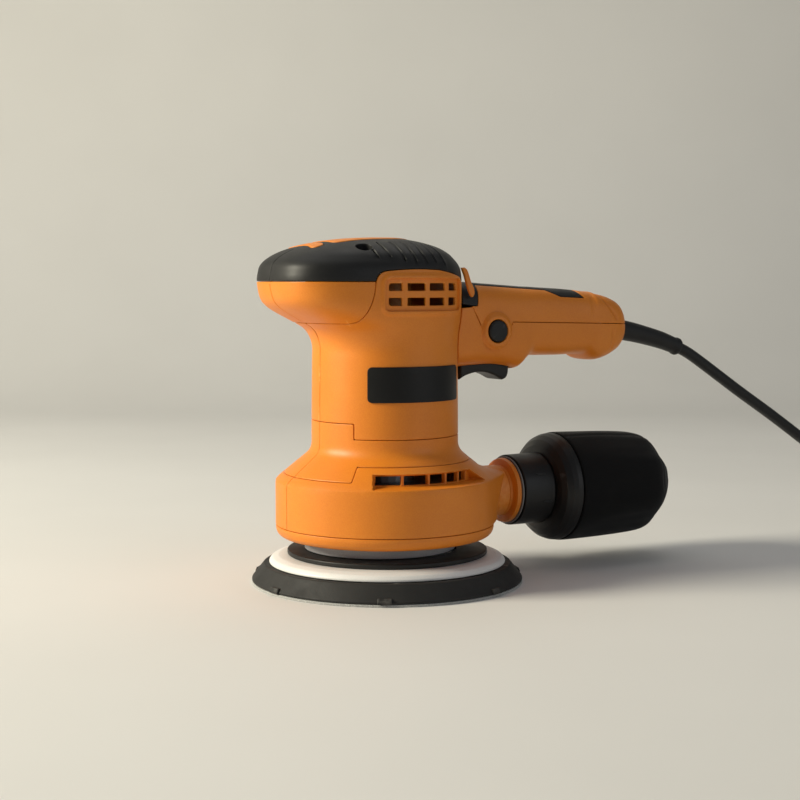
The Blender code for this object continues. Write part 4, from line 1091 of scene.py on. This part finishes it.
def make_handle_screws(looks):
    """Countersunk screws on the right side, with hexagonal sockets."""
    for node, centre, seat in (("handle_screw", (118, 0, 131), 18.6), ("housing_screw", (0, 0, 133), 40.6)):
        profile = (
            (0, seat - 8.6), (1.6, seat - 8.6), (1.6, seat - 2.0), (2.2, seat - 0.6), (2.2, seat + 0.2),
            (0, seat + 0.2),
        )
        obj = add_mesh(f"{node}_head", turned(rounded(profile, 0.15), centre, "Y", 48))
        socket = ((0, seat - 1.2), (1.1, seat - 1.2), (1.1, seat + 2), (0, seat + 2))
        carve(obj, turned(socket, centre, "Y", 6))
        finish_piece(obj, looks["dark_steel"], "housing", "dark_steel", node)


# Trigger and lock button.


def make_controls(looks):
    under = ((43.5, 110.6), (48.0, 112.9), (54.6, 114.5), (60.7, 114.3), (66.8, 112.5), (71.0, 110.4))
    under = even_line(under, 1.0)
    nose = even_line(((72.6, 109.8), (74.9, 110.8), (76.2, 113.2), (76.6, 116.6)), 0.8)
    outline = [*under, *nose, (76.6, 121.8), (52.0, 121.8), (49.5, 125.2), (43.5, 125.2)]
    radii = [0.7] + [0.0] * (len(under) + len(nose) - 1) + [0.9, 1.0, 0.9, 0.9]
    loop = rounded(outline, radii, spacing=1.0)
    loop = loop if area_of(loop) > 0 else loop[::-1]
    left_edge = ((-9.0, 1.6), (-8.8, 0.9), (-8.3, 0.35), (-7.5, 0.05), (-6.5, 0))
    right_edge = [(-y, inset) for y, inset in left_edge[::-1]]
    rings = [[(x, y, z) for x, z in offset_loop(loop, inset)] for y, inset in (*left_edge, *right_edge)]
    obj = add_mesh("trigger_blade", lofted(rings), sharp=50)
    finish_piece(obj, looks["soft_black"], "trigger", "soft_black", "trigger")
    profile = ((0, -12.0), (6.1, -12.0), (6.1, -23.4), (5.3, -24.1), (3.0, -24.4), (0, -24.45))
    profile = rounded(profile, (0, 0.4, 1.2, 2.0, 4.0, 0), steps=6)
    obj = add_mesh("lock_cap", turned(profile, (BUTTON[0], 0, BUTTON[1]), "Y", 96))
    finish_piece(obj, looks["soft_black"], "lock_button", "soft_black", "lock_button")


def spring_wire(length, turns):
    """A coil spring's wire, upwards from the origin."""
    radius, wire = 2.5, 0.4
    rings = []
    for step in range(turns * 24 + 1):
        share = step / (turns * 24)
        angle, height = 2 * pi * turns * share, wire + (length - 2 * wire) * share
        ring = []
        for side in np.arange(0, 2 * pi, pi / 5):
            reach = radius + wire * cos(side)
            ring.append((reach * cos(angle), reach * sin(angle), height + wire * sin(side)))
        rings.append(ring)
    return lofted(rings)


def make_springs(looks):
    """The return springs of the trigger and the button."""
    points, faces = spring_wire(4.6, 4)
    hung = [(68.0 + x, y, 126.7 - z) for x, y, z in points]
    obj = add_mesh("trigger_return", (hung, faces))
    finish_piece(obj, looks["bright_steel"], "housing", "bright_steel", "trigger_spring")
    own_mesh(obj)
    points, faces = spring_wire(3.2, 3)
    lying = [(BUTTON[0] + x, -8.5 - z, BUTTON[1] + y) for x, y, z in points]
    obj = add_mesh("button_return", (lying, faces))
    finish_piece(obj, looks["bright_steel"], "housing", "bright_steel", "lock_spring")
    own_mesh(obj)


# Sanding pad.

PAD_CENTRE = (1.25 * cos(radians(-30)), 1.25 * sin(radians(-30)), 0.0)
PAD_TABS = 7


def make_pad(looks):
    """The pad's four layers, the eight dust holes through them, and the shroud above."""
    rows = (
        ("pad_face", "hook_disc", "hook_pile", ((0, 0), (75, 0), (75, 1.3), (0, 1.3)), (0, 0.3, 0.4, 0)),
        ("pad_skirt", "pad_foam", "foam",
         ((17, 1.6), (75, 1.6), (75, 2.6), (68.8, 10.4), (68.3, 10.8), (17, 10.8)),
         (0.5, 0.5, 0.9, 0.5, 0.3, 0.5)),
        ("pad_plate", "backing_plate", "white_nylon",
         ((4.3, 11.1), (65.4, 11.1), (65.4, 12.3), (63.8, 14.2), (60.4, 15.3), (56.5, 15.7), (4.3, 15.7)),
         (0.3, 0.5, 1.5, 3, 6, 4, 0.3)),
        ("pad_disc", "pad_rim_disc", "soft_black",
         ((38.5, 16), (55.4, 16), (55.4, 18.5), (38.5, 18.5)), (0.3, 0.5, 0.9, 0.5)),
    )
    drops = []
    for step in range(8):
        angle = 2 * pi * (step + 0.5) / 8
        centre = (PAD_CENTRE[0] + 32.5 * cos(angle), PAD_CENTRE[1] + 32.5 * sin(angle), 0)
        drops.append(turned(((0, -5), (4.5, -5), (4.5, 25), (0, 25)), centre, sides=40))
    for name, node, look, profile, radii in rows:
        obj = add_mesh(name, turned(rounded(profile, radii), PAD_CENTRE, sides=192))
        if node == "pad_foam":
            carve(obj, joined([pad_tab(step) for step in range(PAD_TABS)]), "UNION")
        if node != "pad_rim_disc":
            carve(obj, joined(drops))
        finish_piece(obj, looks[look], "pad", look, node)
    profile = ((39.6, 18.9), (41.8, 18.9), (41.8, 28.0), (48.5, 28.0), (48.5, 29.8), (39.6, 29.8))
    obj = add_mesh("shroud_ring", turned(rounded(profile, 0.5), (-2.4, 1.4, 0), sides=160))
    finish_piece(obj, looks["grey_rubber"], "housing", "grey_rubber", "dust_shroud")


def pad_tab(step):
    """One of the small hooks that hold the disc, on the skirt's slope."""
    loop = rounded([(69.0, 1.7), (76.0, 1.7), (76.0, 2.7), (75.2, 4.5), (69.0, 4.5)], 0.3)
    places = ((-3.7, 0.3), (-3.4, 0), (3.4, 0), (3.7, 0.3))
    points, faces = lofted([[(x, y, z) for x, z in offset_loop(loop, inset)] for y, inset in places])
    turn = Matrix.Rotation(radians(239.5) + 2 * pi * step / PAD_TABS, 3, "Z")
    return [tuple(turn @ Vector(p) + Vector(PAD_CENTRE)) for p in points], faces


# Duct, sleeve, bell and bag, about a line along X.


def make_duct_and_bag(looks):
    centre = (0, 0, DUCT_HEIGHT)
    rows = (
        ("duct_ring", "duct_flange", "orange_plastic", "housing", 0.5,
         ((11.5, 74.3), (14.4, 74.3), (14.6, 76.0), (18.3, 76.8), (18.8, 79.4), (15.0, 79.4), (14.8, 92),
          (11.5, 92))),
        ("seal_ring", "duct_seal", "seal", "housing", 0.3,
         ((15.4, 79.7), (19.5, 79.7), (19.5, 80.7), (15.4, 80.7))),
        ("bell", "bag_bell", "black_plastic", "dust_bag", 1.6,
         ((15.6, 101.9), (21.6, 101.9), (24.6, 102.8), (27.9, 104.8), (30.2, 107.6), (31.3, 110.6),
          (31.7, 113.9), (29.4, 113.9), (29.0, 110.0), (26.0, 106.0), (15.6, 104.4))),
    )
    for name, node, look, body, radius, profile in rows:
        obj = add_mesh(name, turned(rounded(profile, radius), centre, "X", 128))
        finish_piece(obj, looks[look], body, "grey_rubber" if look == "seal" else look, node)
    sleeve = rounded(((15.4, 81.2), (20.4, 81.2), (20.6, 99.6), (20.9, 101.6), (15.4, 101.6)), 0.7)
    shapes = [turned(sleeve, centre, "X", 128)]
    for x, angle in ((93.0, 150), (96.5, 196), (90.0, 20)):
        shapes.append(rib_mark(x, radians(angle)))
    obj = add_mesh("sleeve", joined(shapes))
    finish_piece(obj, looks["black_plastic"], "dust_bag", "black_plastic", "bag_sleeve")
    make_bag(looks)


def rib_mark(x, angle):
    """A short raised rib along the sleeve."""
    loop = rounded([(x - 3, -0.5), (x + 3, -0.5), (x + 3, 0.5), (x - 3, 0.5)], 0.4)
    rings = []
    for radius, inset in ((19.8, 0.0), (20.85, 0.0), (21.0, 0.18)):
        ring = []
        for along, across in offset_loop(loop, inset):
            a = angle + across / 20
            ring.append((along, radius * cos(a), DUCT_HEIGHT + radius * sin(a)))
        rings.append(ring)
    return lofted(rings)


def make_bag(looks):
    """The dust bag: cloth drawn over the bell's rim, with flat-sided gathers towards its closed end."""
    levels = (
        (114.2, 31.3), (115.6, 32.0), (124, 32.1), (142, 31.8), (160, 31.0), (169, 30.2), (174.0, 29.0),
        (177.6, 26.9), (181.6, 23.4), (185.6, 19.4), (189.2, 15.6), (191.4, 12.6), (192.6, 8.6),
        (192.9, 2.5),
    )
    profile = even_line(levels, 0.9)
    sides = 180
    rings = []
    for x, radius in profile:
        far = (x - 114.2) / 81
        ring = []
        for step in range(sides):
            angle = 2 * pi * (step + 0.5) / sides
            fold = 0.35 * sin(7 * angle + 1.3 + 2.0 * far) * sin(pi * min(1, far * 1.15)) ** 0.8
            fold += 0.25 * sin(11 * angle - 0.7 + 6 * far) * far
            flat = -1.3 * far * float(smoothstep((cos(8 * angle + 0.4) + 1) / 2)) * (radius / 31)
            seams = np.exp(-(((angle - 1.9) / 0.03) ** 2)) + np.exp(-(((x - 177) / 0.7) ** 2))
            size = max(0.5, radius + fold + flat - 0.45 * float(seams))
            ring.append((x, size * cos(angle), DUCT_HEIGHT + size * sin(angle) - 0.6 * far * far))
        rings.append(ring)
    points, faces = [p for ring in rings for p in ring], []
    for row in range(len(rings) - 1):
        faces += band(row * sides, (row + 1) * sides, sides)
    faces.append(tuple(range((len(rings) - 1) * sides, len(rings) * sides)))
    obj = add_mesh("bag_cloth", (points, faces), sharp=60)
    solid = obj.modifiers.new("cloth_thickness", "SOLIDIFY")
    solid.thickness = 0.0009
    solid.offset = -1
    finish_piece(obj, looks["black_fabric"], "dust_bag", "black_fabric", "dust_bag")


# Power cord, its boot and its plug.

CORD_RADIUS = 3.5
BOOT_LINE = ((154.0, 137.2), (161.5, 136.8), (170.0, 135.5), (180.0, 133.4), (194.0, 129.9), (207.5, 125.4))
BOOT_RADII = (
    (154.0, 6.2), (161.5, 6.1), (170.0, 5.9), (180.0, 5.6), (194.0, 5.3), (204.2, 4.9), (205.0, 5.4),
    (206.9, 5.4), (207.5, 5.0),
)
CORD_LINE = (
    (207.8, 125.25), (216.0, 121.6), (226.0, 115.9), (242.0, 106.2), (259.5, 95.6), (285.4, 80.5),
    (312.1, 64.2), (338.0, 47.8), (362.0, 33.0), (384.0, 20.4), (402.0, 11.6), (418.0, 6.0), (434.0, 3.6),
)
COIL_CENTRE = (434.0, -57.3)
COIL_TOP = 10.5
PLUG_LEVEL = 9.6
PLUG_BACK = 400.5
PLUG_Y = -103.8


def coil_points():
    """The winding: three turns inwards on the table and two outwards on top of them, clockwise from above."""
    points = []
    start, turn, inner = 50, 7, 50 - 7 * 990 / 360
    for degrees_on in np.arange(12, 1981, 12):
        if degrees_on < 90:
            radius, height = 57.3 - 7.3 * smoothstep(degrees_on / 90), CORD_RADIUS + 0.1
        elif degrees_on < 1080:
            radius, height = start - turn * (degrees_on - 90) / 360, CORD_RADIUS + 0.1
        else:
            climb = smoothstep((degrees_on - 1080) / 180)
            radius = inner + (32.5 - inner) * climb
            if degrees_on >= 1260:
                radius = 32.5 + turn * (degrees_on - 1260) / 360
            height = CORD_RADIUS + (COIL_TOP - CORD_RADIUS) * climb
            height += (PLUG_LEVEL - COIL_TOP) * smoothstep((degrees_on - 1940) / 40)
        angle = radians(degrees_on)
        x, y = COIL_CENTRE[0] + radius * sin(angle), COIL_CENTRE[1] + radius * cos(angle)
        points.append((x, y, float(height)))
    return points


def make_cord(looks):
    knots = [(x, 0.0, z) for x, z in CORD_LINE] + coil_points()
    knots += [(x, PLUG_Y, PLUG_LEVEL) for x in (417, 408, 400.8)]
    boot = [(x, 0.0, z) for x, z in BOOT_LINE[1:]]
    line = even_line([*boot, *knots], 4.0)
    curve = bpy.data.curves.new("cord", "CURVE")
    curve.dimensions = "3D"
    curve.bevel_depth = CORD_RADIUS * MM
    curve.bevel_resolution = 6
    curve.use_fill_caps = True
    spline = curve.splines.new("POLY")
    spline.points.add(len(line) - 1)
    spline.points.foreach_set("co", np.hstack([line * MM, np.ones((len(line), 1))]).ravel())
    spline.use_smooth = True
    cord = bpy.data.objects.new("cord", curve)
    bpy.context.scene.collection.objects.link(cord)
    nodes = ("power_cord", "cord_coil")
    finish_piece(cord, looks["cord_sheath"], "housing", "black_plastic", *nodes, mesh=False)
    boot_piece = make_boot(looks)
    plug, pins = make_plug(looks)


def make_boot(looks):
    line = even_line(BOOT_LINE, 0.8)
    radii = np.interp(line[:, 0], *np.array(BOOT_RADII).T)
    runs = np.gradient(line, axis=0)
    runs /= np.linalg.norm(runs, axis=1, keepdims=True)
    turns = np.arange(0, 2 * pi, pi / 32)
    rings = []
    for (x, z), radius, (dx, dz) in zip(line, radii, runs):
        rings.append([(x - dz * radius * sin(a), radius * cos(a), z + dx * radius * sin(a)) for a in turns])
    obj = add_mesh("boot", lofted(rings), sharp=50)
    finish_piece(obj, looks["soft_black"], "housing", "soft_black", "strain_relief")
    return obj


def make_plug(looks):
    """A plain two-pin plug beside the coil."""
    levels = (
        (0, 4.4, 4.4, 2), (5, 4.8, 4.8, 2), (12.0, 5.6, 5.6, 2), (14, 8.5, 7.0, 2.4), (17.0, 13.6, 8.9, 2.9),
        (23.0, 16.9, 9.4, 3), (36.0, 17.5, 9.5, 3), (42.0, 17.6, 9.55, 3), (47, 17.1, 9.3, 3),
        (48.0, 16.2, 8.6, 3),
    )
    rings = []
    for back, wide, tall, blunt in smooth_rows(levels, 5):
        ring = []
        for a in np.arange(0, 2 * pi, pi / 36):
            radius = ((abs(cos(a)) / wide) ** blunt + (abs(sin(a)) / tall) ** blunt) ** (-1 / blunt)
            ring.append((PLUG_BACK - back, PLUG_Y + radius * cos(a), PLUG_LEVEL + radius * sin(a)))
        rings.append(ring)
    plug = add_mesh("plug", lofted(rings), sharp=50)
    finish_piece(plug, looks["black_plastic"], "housing", "black_plastic", "plug_body")
    pins, start = [], PLUG_BACK - 48.3
    profile = ((0, start), (2.4, start), (2.4, start - 17.5), (1.6, start - 19), (0, start - 19))
    profile = rounded(profile, (0, 0.2, 2, 0.8, 0))
    for side, label in ((LEFT, "left"), (RIGHT, "right")):
        pin = add_mesh(f"plug_prong_{label}", turned(profile, (0, PLUG_Y + side * 9.5, PLUG_LEVEL), "X", 40))
        finish_piece(pin, looks["bright_steel"], "housing", "bright_steel", f"plug_pin_{label}")
        pins.append(pin)
    return plug, pins


# Materials.


def finish_piece(obj, look, body, slot, *nodes, mesh=True):
    """Gives a piece its look, and says which body it rides on and which CAD nodes it stands for."""
    obj.data.materials.clear()
    obj.data.materials.append(look)
    if mesh:
        even_normals(obj)
    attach(obj, body)
    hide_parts(*nodes)


class Look:
    """A node material under construction."""

    def __init__(self, name, roughness, metallic=0.0, **sockets):
        self.material = bpy.data.materials.new(name)
        self.material.use_nodes = True
        self.tree = self.material.node_tree
        self.shader = self.tree.nodes["Principled BSDF"]
        self.shader.inputs["Metallic"].default_value = metallic
        self.shader.inputs["Roughness"].default_value = roughness
        for socket, value in sockets.items():
            self.shader.inputs[socket.replace("_", " ")].default_value = value
        self.place = self.node("ShaderNodeTexCoord").outputs["Object"]
        self.bumps = []

    def node(self, kind, **inputs):
        made = self.tree.nodes.new(kind)
        for name, value in inputs.items():
            self.feed(made.inputs[name.replace("_", " ")], value)
        return made

    def feed(self, socket, value):
        if isinstance(value, bpy.types.NodeSocket):
            self.tree.links.new(value, socket)
        else:
            socket.default_value = value

    def noise(self, scale, detail=3.0, roughness=0.55, stretch=None):
        place = self.place
        if stretch:
            place = self.node("ShaderNodeMapping", Vector=place, Scale=stretch).outputs[0]
        made = self.node("ShaderNodeTexNoise", Vector=place, Scale=scale, Detail=detail, Roughness=roughness)
        return made.outputs["Fac"]

    def cells(self, scale):
        made = self.node("ShaderNodeTexVoronoi", Vector=self.place, Scale=scale)
        made.feature = "SMOOTH_F1"
        return made.outputs["Distance"]

    def ramp(self, value, *stops):
        """Maps a value to colours or greys: each stop is (place, colour)."""
        made = self.node("ShaderNodeValToRGB", Fac=value)
        ramp = made.color_ramp
        while len(ramp.elements) < len(stops):
            ramp.elements.new(0.5)
        for element, (place, colour) in zip(ramp.elements, stops):
            element.position = place
            element.color = (*colour, 1) if hasattr(colour, "__len__") else (colour, colour, colour, 1)
        return made.outputs["Color"]

    def mix(self, share, first, second, blend="MIX"):
        made = self.tree.nodes.new("ShaderNodeMix")
        made.data_type = "RGBA"
        made.blend_type = blend
        self.feed(made.inputs["Factor"], share)
        self.feed(made.inputs[6], first)
        self.feed(made.inputs[7], second)
        return made.outputs[2]

    def bump(self, height, strength, distance):
        made = self.node("ShaderNodeBump", Height=height, Strength=strength, Distance=distance)
        if self.bumps:
            self.tree.links.new(self.bumps[-1], made.inputs["Normal"])
        self.bumps.append(made.outputs[0])

    def ridge_highlight_mask(self, low, high):
        """A mask for the painted highlight on edges: white on ridges, black elsewhere."""
        return self.ramp(self.node("ShaderNodeNewGeometry").outputs["Pointiness"], (low, 0.0), (high, 1.0))

    def done(self, colour=None, roughness=None):
        if colour is not None:
            self.feed(self.shader.inputs["Base Color"], colour)
        if roughness is not None:
            self.feed(self.shader.inputs["Roughness"], roughness)
        if self.bumps:
            self.tree.links.new(self.bumps[-1], self.shader.inputs["Normal"])
        return self.material


def plastic(name, dark, light, rough, grain, edge_highlight_colour=None, specular=0.5):
    """Moulded plastic or rubber: fine spark texture, soft blotches, and slightly polished edges with a
    painted highlight, a paler colour on ridges in noisy patches.
    """
    look = Look(name, 0.5, Specular_IOR_Level=specular)
    blotches = look.noise(26.0, 4.0)
    colour = look.ramp(blotches, (0.3, dark), (0.7, light))
    fine = look.noise(1500.0, 2.0)
    colour = look.mix(0.10, colour, look.ramp(fine, (0.35, 0.0), (0.65, 1.0)), "SOFT_LIGHT")
    shine = look.ramp(look.noise(70.0, 5.0), (0.3, rough[0]), (0.7, rough[1]))
    # Painted highlight: ridges are lightened towards a paler colour in noisy patches, and made a little less
    # rough.
    if edge_highlight_colour:
        edges = look.ridge_highlight_mask(0.53, 0.62)
        highlight_patches = look.ramp(look.noise(300.0, 4.0), (0.42, 0.0), (0.62, 1.0))
        highlight_mask = look.mix(1.0, edges, highlight_patches, "MULTIPLY")
        colour = look.mix(highlight_mask, colour, (*edge_highlight_colour, 1))
        shine = look.mix(highlight_mask, shine, (rough[0] * 0.8,) * 3 + (1,))
    look.bump(fine, grain, 0.00006)
    look.bump(look.cells(900.0), grain * 0.6, 0.00005)
    look.bump(look.noise(120.0, 3.0), 0.06, 0.0002)
    return look.done(colour, shine)


def metal(name, dark, light, rough, stretch=(1, 1, 1)):
    """Metal with fine ground lines."""
    look = Look(name, 0.4, metallic=1.0)
    colour = look.ramp(look.noise(60.0, 5.0), (0.3, dark), (0.7, light))
    lines = look.noise(500.0, 3.0, stretch=stretch)
    shine = look.ramp(lines, (0.3, rough[0]), (0.7, rough[1]))
    look.bump(lines, 0.12, 0.00004)
    return look.done(colour, shine)


# Plastics and rubbers: dark and light colour, roughness, grain, colour of the painted edge highlight,
# specular level.

PLASTICS = {
    "orange_plastic": ((0.74, 0.212, 0.010), (0.80, 0.242, 0.014), (0.40, 0.50), 0.30, (0.92, 0.42, 0.10)),
    "soft_black": ((0.008, 0.008, 0.0078), (0.013, 0.0128, 0.0124), (0.46, 0.56), 0.42, (0.04,) * 3, 0.38),
    "black_plastic": ((0.007, 0.007, 0.007), (0.011, 0.0108, 0.0104), (0.38, 0.50), 0.25, (0.04,) * 3, 0.38),
    "dark_plastic": ((0.030, 0.030, 0.034), (0.045, 0.045, 0.05), (0.45, 0.6), 0.2),
    "white_nylon": ((0.76, 0.755, 0.74), (0.83, 0.825, 0.81), (0.34, 0.46), 0.16, (0.9, 0.9, 0.88)),
    "grey_rubber": ((0.46, 0.475, 0.50), (0.56, 0.575, 0.60), (0.45, 0.6), 0.3),
    "seal": ((0.16, 0.155, 0.15), (0.22, 0.215, 0.21), (0.4, 0.55), 0.2),
    "cord_sheath": ((0.007, 0.007, 0.007), (0.011, 0.011, 0.011), (0.40, 0.52), 0.22, None, 0.4),
    "label": ((0.006, 0.006, 0.006), (0.009, 0.009, 0.009), (0.34, 0.42), 0.12, (0.03, 0.03, 0.03), 0.28),
}

# Metals: dark and light colour, roughness, and how the fine lines are stretched.

METALS = {
    "bright_steel": ((0.52, 0.52, 0.53), (0.66, 0.66, 0.67), (0.2, 0.36), (1, 1, 8)),
    "dark_steel": ((0.14, 0.14, 0.15), (0.24, 0.24, 0.25), (0.32, 0.5)),
    "copper": ((0.62, 0.30, 0.16), (0.78, 0.42, 0.24), (0.25, 0.4)),
    "cast_aluminium": ((0.45, 0.46, 0.48), (0.6, 0.61, 0.63), (0.4, 0.6)),
}


def make_looks():
    looks = {name: plastic(name, *values) for name, values in PLASTICS.items()}
    looks.update({name: metal(name, *values) for name, values in METALS.items()})
    looks["black_fabric"] = make_cloth_look()
    looks["foam"] = make_foam_look()
    looks["hook_pile"] = make_pile_look()
    return looks


def weave(look, scale):
    """Two crossed sets of fine threads over the cloth, whichever way it faces."""
    bands = []
    for direction in ("X", "DIAGONAL"):
        made = look.node("ShaderNodeTexWave", Vector=look.place, Scale=scale, Distortion=0.6, Detail=1.0)
        made.bands_direction = direction
        bands.append(made.outputs["Fac"])
    return look.mix(0.5, bands[0], bands[1], "OVERLAY")


def make_cloth_look():
    look = Look("black_fabric", 0.9, Sheen_Weight=0.12, Sheen_Roughness=0.4, Specular_IOR_Level=0.15)
    threads = weave(look, 620.0)
    colour = look.ramp(threads, (0.2, (0.003, 0.003, 0.0032)), (0.8, (0.009, 0.009, 0.0095)))
    dust = look.ramp(look.noise(35.0, 6.0, 0.6), (0.55, 0.0), (0.8, 0.25))
    colour = look.mix(dust, colour, (0.022, 0.0205, 0.018, 1))
    look.bump(threads, 0.5, 0.00012)
    look.bump(look.noise(90.0, 4.0), 0.25, 0.0006)
    return look.done(colour, look.ramp(threads, (0.2, 0.8), (0.8, 0.95)))


def make_foam_look():
    look = Look("foam", 0.75, Specular_IOR_Level=0.35)
    cells = look.cells(1300.0)
    colour = look.ramp(look.noise(40.0, 4.0), (0.3, (0.014, 0.014, 0.0136)), (0.7, (0.023, 0.0225, 0.0215)))
    # Painted highlight: the foam's ridges, such as the tabs' edges, are lightened towards pale grey in noisy
    # patches.
    edges = look.ridge_highlight_mask(0.52, 0.6)
    highlight_noise = look.ramp(look.noise(220.0, 4.0), (0.45, 0.0), (0.65, 1.0))
    highlight_patches = look.mix(1.0, edges, highlight_noise, "MULTIPLY")
    colour = look.mix(highlight_patches, colour, (0.12, 0.115, 0.105, 1))
    look.bump(cells, 0.35, 0.0001)
    look.bump(look.noise(600.0, 3.0), 0.25, 0.0001)
    return look.done(colour, look.ramp(look.noise(90.0, 3.0), (0.3, 0.55), (0.7, 0.72)))


def make_pile_look():
    look = Look("hook_pile", 0.9, Sheen_Weight=0.2)
    hooks = look.cells(1800.0)
    colour = look.ramp(hooks, (0.2, (0.34, 0.34, 0.33)), (0.8, (0.52, 0.52, 0.50)))
    look.bump(hooks, 0.8, 0.0004)
    return look.done(colour)


def paint_hidden_nodes(looks):
    """The CAD pieces that still show, all of them inside, take the same looks."""
    for part in frame["record"]["subparts"]:
        node = frame["nodes"][part["node"]]
        if not node.hide_render:
            node.data.materials.clear()
            node.data.materials.append(looks[part["material_slot"]])


# Floor, lights and camera.


def add_area(name, place, target, size, power, colour):
    light = bpy.data.lights.new(name, "AREA")
    light.shape = "RECTANGLE"
    light.size, light.size_y = size
    light.energy = power
    light.color = colour
    obj = bpy.data.objects.new(name, light)
    obj.location = place
    obj.rotation_mode = "QUATERNION"
    obj.rotation_quaternion = (Vector(target) - Vector(place)).to_track_quat("-Z", "Y")
    bpy.context.scene.collection.objects.link(obj)


def make_stage():
    size, back, curve = 6.0, 1.6, 0.5
    bend = np.linspace(0, pi / 2, 16)[1:]
    profile = [(-size, 0.0), (back - curve, 0.0)]
    profile += [(back - curve + curve * sin(a), curve - curve * cos(a)) for a in bend]
    profile += [(back, 4.0)]
    mesh = bpy.data.meshes.new("studio_floor")
    ahead, across = Vector((0.5, 0.866, 0)), Vector((0.866, -0.5, 0))
    points = [ahead * run + across * side + Vector((0, 0, z)) for side in (-size, size) for run, z in profile]
    count = len(profile)
    mesh.from_pydata(points, [], [(k, k + 1, count + k + 1, count + k) for k in range(count - 1)])
    mesh.shade_smooth()
    floor = bpy.data.objects.new("studio_floor", mesh)
    bpy.context.scene.collection.objects.link(floor)
    look = Look("studio_paper", 0.7, Specular_IOR_Level=0.3)
    look.bump(look.noise(900.0, 3.0), 0.08, 0.0001)
    shades = look.ramp(look.noise(3.0, 3.0), (0.3, (0.70, 0.69, 0.67)), (0.7, (0.735, 0.725, 0.705)))
    floor.data.materials.append(look.done(shades))
    make_lights()


def make_lights():
    world = bpy.data.worlds.new("studio")
    bpy.context.scene.world = world
    world.use_nodes = True
    background = world.node_tree.nodes["Background"]
    background.inputs["Color"].default_value = (0.80, 0.86, 0.95, 1)
    background.inputs["Strength"].default_value = 0.17
    middle = (0.0, 0.0, 0.09)
    add_area("key", (-1.55, 0.50, 0.92), middle, (0.65, 0.70), 46.0, (1.0, 0.94, 0.76))
    add_area("fill", (0.75, -1.35, 0.55), middle, (1.1, 0.9), 2.3, (0.96, 0.98, 1.0))
    add_area("top", (0.10, 0.35, 1.25), middle, (1.2, 1.0), 3.2, (1.0, 0.98, 0.95))


def make_camera():
    camera = bpy.data.cameras.new("camera")
    camera.lens = 69.67
    camera.sensor_width = 36.0
    camera.clip_start, camera.clip_end = 0.05, 30.0
    obj = bpy.data.objects.new("camera", camera)
    obj.location = (-0.4193, -0.7430, 0.1659)
    down = radians(4.39)
    forward = Vector((0.5 * cos(down), 0.866 * cos(down), -sin(down)))
    obj.rotation_mode = "QUATERNION"
    obj.rotation_quaternion = forward.to_track_quat("-Z", "Y")
    bpy.context.scene.collection.objects.link(obj)
    bpy.context.scene.camera = obj
    bpy.context.scene.view_settings.view_transform = "Standard"


make_camera()
make_stage()
looks = make_looks()
make_cord(looks)
make_pad(looks)
make_fan_housing(looks)
make_head(looks)
make_palm_grip(looks)
make_name_plate(looks)
make_handle(looks)
make_controls(looks)
make_springs(looks)
make_duct_and_bag(looks)
paint_hidden_nodes(looks)
